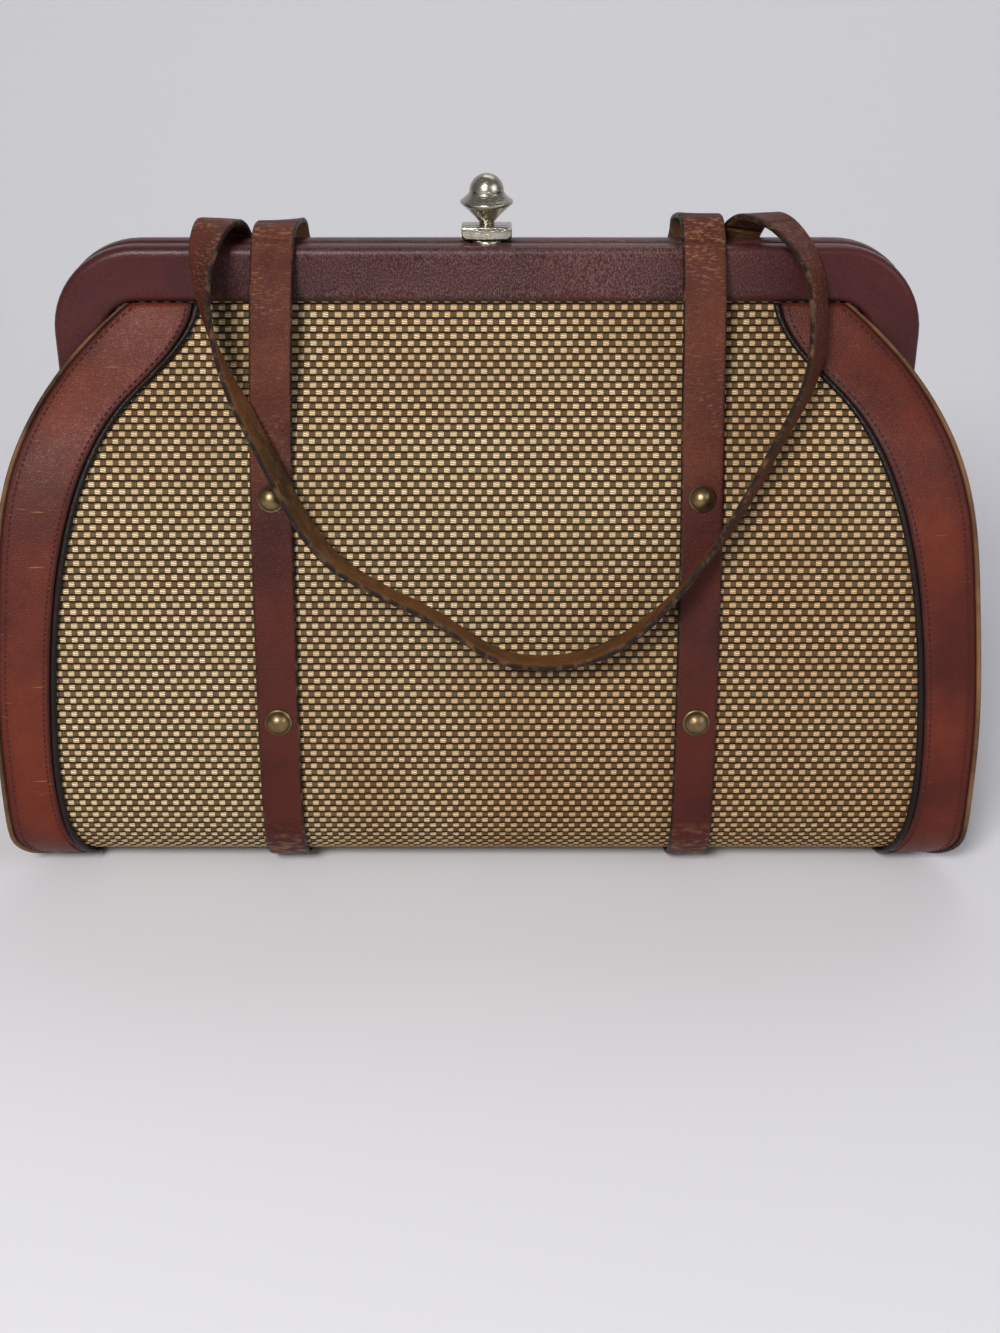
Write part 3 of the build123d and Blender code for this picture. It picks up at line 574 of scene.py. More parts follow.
def hang(piece, front, *nodes):
    """Bakes a soft piece's place into its mesh, and hides the solids that it stands for."""
    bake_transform(piece)
    if nodes:
        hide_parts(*nodes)
    return piece


def fixed(piece, body, *nodes):
    """Lets a piece ride on one body."""
    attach(piece, body)
    if nodes:
        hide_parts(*nodes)
    return piece


# %% [markdown]
# The woven cloth is one sheet from frame to frame. It is laid here in three: the front, the back, and the flat
# bottom that both run into. The weave could be bump alone, but it would look painted at the outline. So the cells
# stand up as real relief, four points to a pair of cells and three to a row, and the finish adds the strands.

# %% Woven body
STEP_ACROSS, STEPS_PER_ROW = WEAVE_PERIOD / 4, 3
LOWEST, CELL_RISE, CELL_SWING = -0.12, 0.28, 0.22
SEAM_INSET = 0.8
# The relief's slopes add to the area, and the cloth under them is this share of it
RELIEF_SHARE = 0.95
BOTTOM_GRID, BOTTOM_HALF = (60, 14), SEAM_HALF - SEAM_RADIUS
FIRST_ROW = distance_at(FRAME_UNDER - 1.0)


def cell_height(column, row):
    """How far the yarn stands up: high on the cream cells, lower on the dark ones, lowest between rows."""
    line = math.floor(row + 1e-6)
    across = column + 0.5 * line
    round_top = max(0.0, math.sin(math.pi * (row - line))) ** 0.5
    return LOWEST + round_top * (CELL_RISE + CELL_SWING * math.cos(2 * math.pi * (across - 0.25)))


def woven_face(front):
    columns = 2 * round(SEAM_HALF / STEP_ACROSS)
    start = FIRST_ROW - math.ceil(FIRST_ROW / ROW_PITCH) * ROW_PITCH
    row_count = math.ceil((FLAT_START - start) / ROW_PITCH)

    def place(u, v):
        x = (u - 0.5) * columns * STEP_ACROSS
        row = v * row_count
        distance = min(max(start + row * ROW_PITCH, 0.0), FLAT_START)
        depth, height, out_depth, out_height = face_point(round(distance, 4))
        limit = across_at(seam, height) - SEAM_INSET
        up = cell_height(x / WEAVE_PERIOD, row) if distance < FLAT_START else 0.0
        x = min(max(x, -limit), limit)
        return x, -front * (depth + out_depth * up), height + out_height * up

    cells = (columns * STEP_ACROSS / WEAVE_PERIOD, row_count)
    mesh = laid_grid(columns, row_count * STEPS_PER_ROW, place, cells)
    beyond_seam = [face for face in mesh.faces if face.calc_area() < 1e-9]
    bmesh.ops.delete(mesh, geom=beyond_seam, context="FACES")
    face_outwards(mesh, (0, -front, 0.2))
    return mesh


for front, half_name in HALVES:
    mesh = woven_face(front)
    area = area_of(mesh)
    piece = hang(finish_piece(mesh, f"woven_{half_name}", STRAW), front, "body_wrap")
    area * RELIEF_SHARE
    print(piece.name, "has an area of", round(area, 4), "square metres")


def bottom_place(u, v):
    return (2 * u - 1) * BOTTOM_HALF, (2 * v - 1) * FLAT_HALF, BASE


mesh = laid_grid(*BOTTOM_GRID, bottom_place, (2 * BOTTOM_HALF / WEAVE_PERIOD, 2 * FLAT_HALF / ROW_PITCH))
face_outwards(mesh, (0, 0, -1))
bottom = fixed(finish_piece(mesh, "woven_bottom", STRAW), "bag", "body_wrap")

# %% [markdown]
# The ends are folded inwards, as on any bag whose frame opens: nearly flat at the foot, a half circle between the
# arms. At each height the end is an arc between the front and back cloth, and its depth grows upwards. Each end
# is two pieces that meet at the fold, one for each frame half, and a slot at the top of the fold leaves room for
# the pivots. The lining repeats them a little further in.

# %% The fold of the ends
HINGE_HEIGHT, NOTCH, GUSSET_GAP = 160.0, CLOTH_DEPTH - WEAVE_THICKNESS, 0.5
GUSSET_TOP, GUSSET_FOOT = 190.0, BASE + WEAVE_THICKNESS + 0.5
FOLD_FOOT, FOLD_GROWTH, FOLD_BEND, FOLD_LIMIT = 2.0, 27.0, 1.4, 0.985
ARM_ROOM = 125.0


@functools.cache
def inside_depth(height):
    """Half the room between the front and back cloth at a height."""
    away = -WEAVE_THICKNESS - GUSSET_GAP
    return face_point(distance_at(height, away), away)[0]


@functools.cache
def fold(height):
    """(centre, radius, half chord) of the end panel's arc at a height."""
    chord = inside_depth(height)
    share = (height - BASE) / (HINGE_HEIGHT - BASE)
    depth = min(FOLD_FOOT + FOLD_GROWTH * share**FOLD_BEND, FOLD_LIMIT * chord)
    radius = (chord**2 + depth**2) / (2 * depth)
    return across_at(seam, height) - LAYER_GAP - depth + radius, radius, chord


def notch_at(height):
    """Half the width of the slot above the pivots."""
    if height <= HINGE_HEIGHT:
        return 0.0
    below = max(HINGE_HEIGHT + NOTCH - height, 0.0)
    return math.sqrt(max(NOTCH**2 - below**2, 0.0))


def folded_place(side, front, away, top, relief):
    """Where the points of one half of an end go, at a distance inside the woven piece."""

    def place(u, v):
        height = round(GUSSET_FOOT + v * (top - GUSSET_FOOT), 3)
        centre, radius, chord = fold(height)
        reach = radius + away
        outer, inner = math.asin(min(chord / reach, 1)), math.asin(notch_at(height) / reach)
        angle = outer + (inner - outer) * u
        up = cell_height(angle * reach / WEAVE_PERIOD, height / ROW_PITCH) if relief else 0.0
        x = centre - (reach - up) * math.cos(angle)
        if height > FRAME_ARM_END - 1:
            x = min(x, ARM_ROOM)
        return side * x, -front * (reach - up) * math.sin(angle), height

    return place


print("the fold at the hinge is", [round(value, 1) for value in fold(HINGE_HEIGHT)])

# %% [markdown]
# Both halves of an end are grids on that fold, and the woven one has the same relief as the body. The flat sizes
# are those of the cloth before it is folded and trimmed to its outline.

# %% Folded ends and their lining
END_COLUMNS, END_LINING_GRID, END_LINING_CELLS = 52, (20, 44), (4, 10)
END_FLAT, END_WIDTH, LEAST_AREA, FOLD_RELIEF_SHARE = (0.07, 0.2), 56.0, 0.0043, 0.97
end_rows = (GUSSET_TOP - GUSSET_FOOT) / ROW_PITCH
for side, side_name in SIDES:
    for front, half_name in HALVES:
        place = folded_place(side, front, 0.0, GUSSET_TOP, True)
        mesh = laid_grid(END_COLUMNS, round(end_rows) * STEPS_PER_ROW, place, (END_WIDTH / WEAVE_PERIOD, end_rows))
        face_outwards(mesh, (side, 0, 0))
        area = area_of(mesh)
        piece = finish_piece(mesh, f"gusset_{side_name}_{half_name}_half", STRAW)
        hang(piece, front, f"gusset_{side_name}")
        max(area * FOLD_RELIEF_SHARE, LEAST_AREA)

        place = folded_place(side, front, GUSSET_THICKNESS + LAYER_GAP, GUSSET_TOP - 2, False)
        mesh = laid_grid(*END_LINING_GRID, place, END_LINING_CELLS)
        face_outwards(mesh, (-side, 0, 0))
        area = area_of(mesh)
        piece = finish_piece(mesh, f"lining_{side_name}_{half_name}_half", LINING)
        hang(piece, front, f"lining_{side_name}")

# %% [markdown]
# The lining of the front and back lies a little inside the cloth, easing away from it below the frame to pass over
# the stiffening board. It stops where the ends' lining starts.

# %% Lining of the body
LINING_EASE, LINING_INSET, LINING_FLAT = 50.0, 3.0, (0.33, 0.25)
LINING_GRID, LINING_CELLS = (48, 60), (30, 24)
lining_start = distance_at(FRAME_UNDER - LAYER_GAP)


def lining_limit(depth, height):
    """How far from the middle the lining reaches: to the ends' lining, the frame's arms or the seam."""
    centre, radius, chord = fold(round(min(max(height, GUSSET_FOOT), GUSSET_TOP), 2))
    reach = radius + GUSSET_THICKNESS + LINING_THICKNESS + 2 * LAYER_GAP
    limit = centre - math.sqrt(max(reach**2 - min(depth, chord) ** 2, 0.0))
    if height > FRAME_ARM_END - 1:
        limit = min(limit, ARM_ROOM)
    return min(limit, across_at(seam, height) - LINING_INSET)


def lining_place(front):
    def place(u, v):
        distance = lining_start + v * (face.length - lining_start)
        ease = min(1.0, distance / LINING_EASE)
        away = WEAVE_THICKNESS + LAYER_GAP + ease * (BOARD_THICKNESS + LAYER_GAP)
        depth, height, _, _ = face_point(round(distance, 3), -away)
        return (2 * u - 1) * lining_limit(depth, height), -front * depth, height

    return place


for front, half_name in HALVES:
    mesh = laid_grid(*LINING_GRID, lining_place(front), LINING_CELLS)
    face_outwards(mesh, (0, front, 0.3))
    area = area_of(mesh)
    piece = hang(finish_piece(mesh, f"lining_{half_name}", LINING), front, "lining_body")

# %% [markdown]
# A leather band covers each side seam. A band could be one flat sheet with a thickness, but its turned edges and
# its slight crown catch the light. So it is a rounded section that is carried down the face of the bag, and at
# each height it spans the width between the band's inner edge and the seam.

# %% A strip along the seam
BAND_WRAP = 14.0
band_start, band_end = distance_at(FRAME_UNDER - 1.0), FLAT_START + BAND_WRAP


def rounded_section(width, height, radius, steps=3):
    """A rectangle with round corners as a closed track, from the middle of the top side round."""
    corners = [
        ((width - radius, height - radius), 90, 0),
        ((width - radius, radius), 0, -90),
        ((radius, radius), -90, -180),
        ((radius, height - radius), 180, 90),
    ]
    points = [arc(centre, radius, start, end, steps) for centre, start, end in corners]
    middle = [(width / 2, height)]
    return Track(np.vstack([middle, *points, middle]))


def ring_of(section, around):
    """Evenly spaced points round a section, with the first one again at the end."""
    return [section.at(mark) for mark in np.linspace(0, section.length, around + 1)]


@functools.cache
def band_width(distance):
    _, height, _, _ = face_point(round(distance, 3))
    return across_at(seam, height) - across_at(band_edge, height)


def band_point(distance, share, out):
    """A point on the band: share goes from 0 at the inner edge to 1 at the seam."""
    depth, height, out_depth, out_height = face_point(round(distance, 3))
    inner, outer = across_at(band_edge, height), across_at(seam, height)
    return inner + (outer - inner) * share, depth + out_depth * out, height + out_height * out


def strip(front, side, low, high, lift, section, grid, crown=0.0):
    """A rounded strip down the band. Its two edges are given as a share of the band and millimetres beyond it."""
    width, thickness, radius = section
    steps, around = grid
    ring = ring_of(rounded_section(width, thickness, radius), around)

    def place(u, v):
        distance = band_start + u * (band_end - band_start)
        across, up = ring[round(v * around)]
        if up > thickness / 2:
            up += crown * (1 - (2 * across / width - 1) ** 4)
        first, last = (share + extra / band_width(distance) for share, extra in (low, high))
        x, depth, height = band_point(distance, first + (last - first) * across / width, lift + up)
        return side * x, -front * depth, height

    return laid_grid(steps, around, place, ((band_end - band_start) / 10, 1.0), rolled=True)


print("bands are", round(band_width(band_start)), "to", round(band_width(FLAT_START)), "mm wide")

# %% [markdown]
# Three strips make the bag's dark-rimmed edge: the band, a thin rounded piping between band and weave, and the
# raw edge of the seam, where band, cloth and end are sewn together.

# %% Bands, piping and seam edges
BAND_THICKNESS, BAND_LIFT, BAND_CROWN, BAND_NOMINAL = 1.6, ROW_HEIGHT + 0.1, 0.6, 20.0
PIPING_WIDTH, PIPING_HEIGHT, PIPING_GAP = 2.2, 2.1, 0.1
SEAM_WIDTH, SEAM_LOW, SEAM_TALL, SEAM_LAP = 1.6, -2.6, 5.2, 0.4
# Width, thickness and corner radius of each section, and the faces along and around it
BAND_SECTION, BAND_GRID = (BAND_NOMINAL, BAND_THICKNESS - BAND_CROWN, 0.4), (110, 48)
PIPING_SECTION, PIPING_GRID = (PIPING_WIDTH, PIPING_HEIGHT, 0.95), (150, 14)
SEAM_SECTION, SEAM_GRID = (SEAM_WIDTH, SEAM_TALL, 0.7), (150, 16)

for front, side, corner in CORNERS:
    mesh = strip(front, side, (0, 0), (1, 0), BAND_LIFT, BAND_SECTION, BAND_GRID, BAND_CROWN)
    hang(finish_piece(mesh, f"leather_band_{corner}", BAND), front, f"band_{corner}")

    low, high = (0, -PIPING_WIDTH), (0, -PIPING_GAP)
    mesh = strip(front, side, low, high, BAND_LIFT - PIPING_GAP, PIPING_SECTION, PIPING_GRID)
    hang(finish_piece(mesh, f"edge_piping_{corner}", PIPING), front, f"piping_{corner}")

    low, high = (1, -SEAM_LAP), (1, SEAM_WIDTH - SEAM_LAP)
    mesh = strip(front, side, low, high, SEAM_LOW, SEAM_SECTION, SEAM_GRID)
    hang(finish_piece(mesh, f"seam_edge_{corner}", SEAM), front, f"band_{corner}")

# %% [markdown]
# The bands are sewn with a dark thread in two rows. Painted dashes would vanish in a low light, so each stitch is
# a small stretched ball that sinks a little into the leather, and a row of them is one piece.

# %% Stitches
STITCH_LENGTH, STITCH_PITCH, STITCH_RADIUS, STITCH_SINK = 1.35, 1.85, 0.36, 0.12
STITCH_ROWS = (("outer", 1, -3.0), ("inner", 0, 2.2))
FIRST_STITCH, LAST_STITCH = 1.5, 2.0


def stitch_row(front, side, edge, inset):
    """A row of stitches at a distance from the seam, edge 1, or from the band's inner edge, edge 0."""
    mesh = bmesh.new()
    distance = band_start + FIRST_STITCH
    while distance < FLAT_START - LAST_STITCH:
        share = edge + inset / band_width(distance)
        ends = []
        for ahead in (0.0, STITCH_LENGTH):
            x, depth, height = band_point(distance + ahead, share, BAND_LIFT + BAND_THICKNESS - STITCH_SINK)
            ends.append(Vector((side * x, -front * depth, height)))
        run = ends[1] - ends[0]
        ball = bmesh.ops.create_icosphere(mesh, subdivisions=1, radius=STITCH_RADIUS * MM)
        stretch = Matrix.Diagonal((1, 1, run.length / 2 / STITCH_RADIUS, 1))
        turn = run.to_track_quat("Z", "Y").to_matrix().to_4x4()
        middle = Matrix.Translation((ends[0] + ends[1]) / 2 * MM)
        bmesh.ops.transform(mesh, matrix=middle @ turn @ stretch, verts=ball["verts"])
        distance += STITCH_PITCH
    return mesh


for front, side, corner in CORNERS:
    for row_name, edge, inset in STITCH_ROWS:
        mesh = stitch_row(front, side, edge, inset)
        hang(finish_piece(mesh, f"stitches_{row_name}_{corner}", THREAD), front)

# %% [markdown]
# Each frame half is a steel bar in a glued leather cover. A bevelled solid would look machined. So the cover is a
# section with soft corners that is carried along the upturned U, between its outer and inner outline, with a
# slight swell and an uneven face where leather has been stretched over steel.

# %% Frame covers
ARM_WIDTH, COVER_THICKNESS, SPLIT, CORNER_RADIUS, INNER_RADIUS = 17.0, 8.0, 0.6, 29.0, 11.0
COVER_CORNER, COVER_SWELL, COVER_UNEVEN, COVER_AROUND = 2.3, 0.35, 0.22, 44
LEG_STEPS, BEND_STEPS, BAR_STEPS = 5, 14, 46


def u_outline(half_width, top, radius):
    """Stations along an upturned U, from the right foot to the left one, as many for any size."""
    legs = [(half_width, z) for z in np.linspace(FRAME_ARM_END, top - radius, LEG_STEPS, endpoint=False)]
    bend = arc((half_width - radius, top - radius), radius, 0, 90, BEND_STEPS)
    bar = [(x, top) for x in np.linspace(half_width - radius, 0, BAR_STEPS)[1:]]
    right = np.vstack([legs, bend, bar])
    left = right[-2::-1] * np.array([-1, 1])
    return np.vstack([right, left])


outer_line = u_outline(FRAME_END, FRAME_TOP, CORNER_RADIUS)
inner_line = u_outline(FRAME_END - ARM_WIDTH, FRAME_UNDER, INNER_RADIUS)
cover_ring = ring_of(rounded_section(ARM_WIDTH, COVER_THICKNESS, COVER_CORNER, 4), COVER_AROUND)


def cover_place(front):
    def place(u, v):
        n = round(u * (len(outer_line) - 1))
        across, out = cover_ring[round(v * COVER_AROUND)]
        share = across / ARM_WIDTH
        swell = COVER_SWELL * (1 - (2 * share - 1) ** 2) if out > COVER_THICKNESS / 2 else 0.0
        x, z = outer_line[n] + (inner_line[n] - outer_line[n]) * share
        uneven = COVER_UNEVEN * noise.noise(Vector((x, front * 9.0, z)) / 16.0)
        return x, -front * (SPLIT / 2 + out + swell + uneven * out / COVER_THICKNESS), z

    return place


for front, half_name in ((1, "front"), (-1, "rear")):
    mesh = laid_grid(len(outer_line) - 1, COVER_AROUND, cover_place(front), (60.0, 1.0), rolled=True)
    piece = finish_piece(mesh, f"{half_name}_cover_leather", COVER)
    fixed(piece, FRAME_OF[front], f"{half_name}_frame_cover")

# %% [markdown]
# The finial is turned on a lathe, and the spin operator does the same: it carries an outline round an axis. The
# outline is a narrow neck, a straight flare up to a sharp rim, a cone, and a domed cap with a small step under it.


# %% The finial
def turned(name, outline, place, material, steps):
    """Spins an outline of (radius, height) in millimetres in so many steps, and puts it in place."""
    mesh = bmesh.new()
    points = [mesh.verts.new((radius * MM, 0, height * MM)) for radius, height in outline]
    edges = [mesh.edges.new(pair) for pair in zip(points, points[1:])]
    bmesh.ops.spin(
        mesh, geom=points + edges, cent=(0, 0, 0), axis=(0, 0, 1), angle=2 * math.pi, steps=steps, use_merge=True
    )
    bmesh.ops.remove_doubles(mesh, verts=mesh.verts, dist=1e-7)
    bmesh.ops.recalc_face_normals(mesh, faces=mesh.faces)
    bmesh.ops.transform(mesh, matrix=place, verts=mesh.verts)
    return finish_piece(mesh, name, material)


KNOB_Y, BLOCK_TOP, FINIAL_STEPS = 2.2, 215.3, 64
TAIL_RADIUS, TAIL_LENGTH, NECK_RADIUS = 1.5, 0.7, 2.5
RIM_RADIUS, RIM_HEIGHT, RIM_ROUND = 8.6, 7.1, 0.45
CAP_RADIUS, CAP_FOOT, CAP_RISE, CAP_STEP = 5.6, 10.2, 5.8, 0.15
flare = smooth_line([(2.4, 0.6), (5.4, 3.85), (RIM_RADIUS - 0.15, RIM_HEIGHT - RIM_ROUND)], (0.8, 1), (1, 0.9), 8)
rim = arc((RIM_RADIUS - RIM_ROUND, RIM_HEIGHT), RIM_ROUND, -50, 70, 6)
cone_stops = [(RIM_RADIUS - 0.35, RIM_HEIGHT + 0.5), (CAP_RADIUS + CAP_STEP, CAP_FOOT - 0.3)]
cone = smooth_line(cone_stops, (-1, 0.6), (-0.8, 1), 6)
cap = arc((0, CAP_FOOT + CAP_RISE - CAP_RADIUS), CAP_RADIUS, 0, 90, 16)
finial_outline = [
    (0, -TAIL_LENGTH), (TAIL_RADIUS, -TAIL_LENGTH), (TAIL_RADIUS, 0.0), (NECK_RADIUS, 0.0), *flare, *rim, *cone,
    (CAP_RADIUS + 0.05, CAP_FOOT), (CAP_RADIUS - CAP_STEP, CAP_FOOT + CAP_STEP), *cap,
]
finial_place = Matrix.Translation(Vector((0, KNOB_Y, BLOCK_TOP)) * MM)
finial = turned("finial", finial_outline, finial_place, NICKEL, FINIAL_STEPS)
fixed(finial, "clasp", "clasp_knob")

# %% [markdown]
# The eight studs are spun the same way: a low dome with a thin flange, a shank through strap and cloth, and a
# washer inside. Each sits square on the bag's face, so its axis turns with the face's outward way.

# %% Studs
STUD_RADIUS, STUD_RISE, STUD_FLANGE, STUD_SHANK, STUD_STEPS = 4.6, 3.2, 0.5, 1.5, 40
WASHER_RADIUS, WASHER_THICKNESS = 3.5, 0.8
STUD_HEIGHTS = (("upper", 135.0), ("lower", 62.0))
dome_half, dome_rise = STUD_RADIUS - STUD_FLANGE, STUD_RISE - STUD_FLANGE
dome_radius = (dome_half**2 + dome_rise**2) / (2 * dome_rise)
dome_start = math.degrees(math.acos(dome_half / dome_radius))
dome = arc((0, STUD_RISE - dome_radius), dome_radius, dome_start, 90, 10)
strap_face = ROW_HEIGHT + LAYER_GAP + STRAP_THICKNESS
grip = strap_face + WEAVE_THICKNESS + 0.1
stud_outline = [
    (0, -grip - WASHER_THICKNESS), (WASHER_RADIUS, -grip - WASHER_THICKNESS), (WASHER_RADIUS, -grip),
    (STUD_SHANK, -grip), (STUD_SHANK, 0.0), (STUD_RADIUS - 0.2, 0.0), (STUD_RADIUS, 0.2),
    (STUD_RADIUS - 0.1, 0.45), *dome,
]
for front, half_name in HALVES:
    for level, stud_height in STUD_HEIGHTS:
        for side, side_name in SIDES:
            distance = round(distance_at(stud_height), 3)
            depth, height, out_depth, out_height = face_point(distance, strap_face + 0.05)
            outward = Vector((0, -front * out_depth, out_height))
            seat = Matrix.Translation(Vector((side * STRAP_X, -front * depth, height)) * MM)
            seat = seat @ outward.to_track_quat("Z", "Y").to_matrix().to_4x4()
            name = f"stud_{half_name}_{level}_{side_name}"
            fixed(turned(f"domed_{name}", stud_outline, seat, BRASS, STUD_STEPS), "bag", name)

# %% [markdown]
# Each handle is one long strap: it starts under the bag, runs up the body under two studs, passes over the frame,
# hangs down behind or in front as a limp loop, and comes back the same way. A simulation would settle it
# somewhere, but it has to hang where the real one does. So its free stretch follows listed points, each with the
# way that the strap's edge faces, which turns it about its length.

# %% The straps' routes
LEFT_EDGE, RIGHT_EDGE = (-1, 0, 0), (1, 0, 0)
LOOP_EDGE, HIDDEN_LOOP_EDGE = (0, -1, 0.2), (0, -1, -0.2)
LEFT_LOOP_EDGE, RIGHT_LOOP_EDGE = (-0.22, -1, 0.25), (-0.42, -1, 0.1)
front_handle_route = [
    ((-69.7, -24.5, 174), LEFT_EDGE),
    ((-69.0, -12.2, 204), LEFT_EDGE),
    ((-68.6, -9.6, 210.8), LEFT_EDGE),
    ((-68.2, -2.0, 215.0), LEFT_EDGE),
    ((-66.8, 9.5, 213.0), (-0.9, -0.3, 0)),
    ((-63.5, 16.0, 204.5), (-0.5, -0.8, 0)),
    ((-61.0, 20.5, 192), (-0.2, -1, -0.2)),
    ((-57.5, 29.0, 173), HIDDEN_LOOP_EDGE),
    ((-51.5, 40.0, 151), HIDDEN_LOOP_EDGE),
    ((-40.0, 49.0, 126), HIDDEN_LOOP_EDGE),
    ((-22.0, 55.0, 102), HIDDEN_LOOP_EDGE),
    ((0.0, 58.5, 89), HIDDEN_LOOP_EDGE),
    ((22.0, 57.0, 94.5), HIDDEN_LOOP_EDGE),
    ((40.0, 51.2, 118), HIDDEN_LOOP_EDGE),
    ((51.5, 41.8, 147), HIDDEN_LOOP_EDGE),
    ((58.0, 30.0, 171), HIDDEN_LOOP_EDGE),
    ((62.0, 21.0, 192), (0.2, -1, -0.2)),
    ((65.0, 16.5, 205.5), (0.5, -0.8, 0)),
    ((68.0, 9.5, 214.5), (0.9, -0.3, 0)),
    ((69.3, -1.5, 217.6), RIGHT_EDGE),
    ((70.0, -12.3, 204), RIGHT_EDGE),
    ((70.0, -24.5, 174), RIGHT_EDGE),
]
back_handle_route = [
    ((-75.5, 24.5, 173), RIGHT_EDGE),
    ((-82.0, 14.0, 199), RIGHT_EDGE),
    ((-84.2, 10.3, 208.3), (1, -0.05, 0)),
    ((-85.2, 5.0, 214.3), (1, -0.1, 0)),
    ((-87.0, -3.0, 216.8), (1, -0.3, 0)),
    ((-89.3, -12.0, 212.5), (0.8, -0.55, 0.2)),
    ((-90.6, -17.5, 203.0), (0.5, -0.8, 0.3)),
    ((-89.7, -21.0, 193.7), (0.3, -0.9, 0.3)),
    ((-86.0, -27.0, 181.0), (0.1, -1, 0.3)),
    ((-78.3, -36.5, 166.5), LEFT_LOOP_EDGE),
    ((-66.7, -46.5, 146.3), LEFT_LOOP_EDGE),
    ((-49.9, -53.5, 120.8), LEFT_LOOP_EDGE),
    ((-28.0, -56.5, 107.5), LOOP_EDGE),
    ((-13.1, -57.5, 99.3), LOOP_EDGE),
    ((4.0, -58.5, 88.4), LOOP_EDGE),
    ((20.3, -58.5, 85.8), LOOP_EDGE),
    ((39.0, -58.0, 90.3), LOOP_EDGE),
    ((59.3, -56.0, 106.6), (-0.2, -1, 0.15)),
    ((76.6, -50.5, 127.8), RIGHT_LOOP_EDGE),
    ((95.1, -38.5, 158.2), RIGHT_LOOP_EDGE),
    ((103.9, -30.0, 174.5), (-0.45, -1, 0.2)),
    ((105.8, -23.0, 191.3), (-0.50, -0.9, 0.3)),
    ((103.6, -17.3, 205.9), (-0.55, -0.8, 0.3)),
    ((96.0, -10.4, 216.0), (-0.8, -0.5, 0.2)),
    ((89.0, -1.0, 218.5), (-1, -0.25, 0)),
    ((84.5, 8.0, 213.0), (-1, -0.1, 0)),
    ((81.0, 14.0, 200), LEFT_EDGE),
    ((75.5, 24.5, 173), LEFT_EDGE),
]
print("routes have", len(front_handle_route), "and", len(back_handle_route), "points")

# %% [markdown]
# A strap's middle line joins three stretches: up one side of the body, along the route, and down the other side.
# At any distance along it, the line's way and the edge's way together give the strap's flat side.

# %% The straps' middle lines
LIFT_OFF, STRAP_END, STRAP_STEP, ROUTE_FINE, WAY_REACH = 144.0, 12.0, 4.0, 10, 1.5
STRAP_OUT = ROW_HEIGHT + LAYER_GAP + STRAP_THICKNESS / 2


class Strap:
    """A strap's middle line from end to end, with the way that its edge faces."""

    def __init__(self, front, route):
        self.front = front
        up, down = (LEFT_EDGE, RIGHT_EDGE) if front > 0 else (RIGHT_EDGE, LEFT_EDGE)
        start, end = face.length - STRAP_END, distance_at(LIFT_OFF)
        count = round((start - end) / STRAP_STEP)
        body = [face_point(start + (end - start) * n / count, STRAP_OUT) for n in range(count + 1)]
        first = [(-STRAP_X, -front * point[0], point[1]) for point in body]
        last = [(STRAP_X, -front * point[0], point[1]) for point in body][::-1]
        stops = [first[-1], *[point for point, _ in route], last[0]]
        lift, land = np.subtract(first[-1], first[-2]), np.subtract(last[1], last[0])
        free = smooth_line(stops, lift, land, ROUTE_FINE)
        edges = np.array([up, *[edge for _, edge in route], down], float)
        shares = np.linspace(0, len(stops) - 1, len(free))
        free_edges = np.column_stack([np.interp(shares, range(len(stops)), column) for column in edges.T])
        points = np.vstack([first[:-1], free, last[1:]])
        self.track = Track(points)
        self.edges = np.vstack([[up] * (len(first) - 1), free_edges, [down] * (len(last) - 1)])
        self.marks = np.concatenate([[0], np.cumsum(np.linalg.norm(np.diff(points, axis=0), axis=1))])

    @functools.cache
    def section(self, distance):
        """(middle, across, finished side's normal) at a distance along the strap."""
        middle = Vector(self.track.at(distance))
        way = Vector(self.track.way(distance, WAY_REACH))
        edge = Vector([np.interp(distance, self.marks, column) for column in self.edges.T])
        finished = way.cross(edge).normalized()
        return middle, finished.cross(way), finished

    def crossings(self, depth):
        """The first and the last distance at which the middle line passes a depth over the frame."""
        y, marks = self.track.points[:, 1], self.track.marks
        found = []
        over_frame = self.track.points[:-1, 2] > FRAME_UNDER
        for n in np.flatnonzero(over_frame & ((y[:-1] - depth) * (y[1:] - depth) < 0)):
            share = (depth - y[n]) / (y[n + 1] - y[n])
            found.append(marks[n] + share * (marks[n + 1] - marks[n]))
        return found[0], found[-1]


straps = {"front_strap": Strap(1, front_handle_route), "back_strap": Strap(-1, back_handle_route)}
for node, strap in straps.items():
    print(node, "is", round(strap.track.length), "mm long")

# %% [markdown]
# The strap is a rounded section carried along that line. It is cut where it passes the frame: into two legs, the
# loop, and on each side two short parts between them, which reach from the middle of the opening to a half.

# %% Straps
SECTION_CORNER, SECTION_START, AROUND, STRAP_FINE = 0.75, 0.782, 40, 1.8
LEATHER_WAVE, WAVE_LENGTH = 0.12, 9.0
COVER_FACE = SPLIT / 2 + COVER_THICKNESS
strap_ring = rounded_section(STRAP_WIDTH, STRAP_THICKNESS, SECTION_CORNER, 3)


def ring_point(share):
    """A point of the strap's section, from one top corner over the finished side, and on round."""
    return strap_ring.at(((share + SECTION_START) % 1.0) * strap_ring.length)


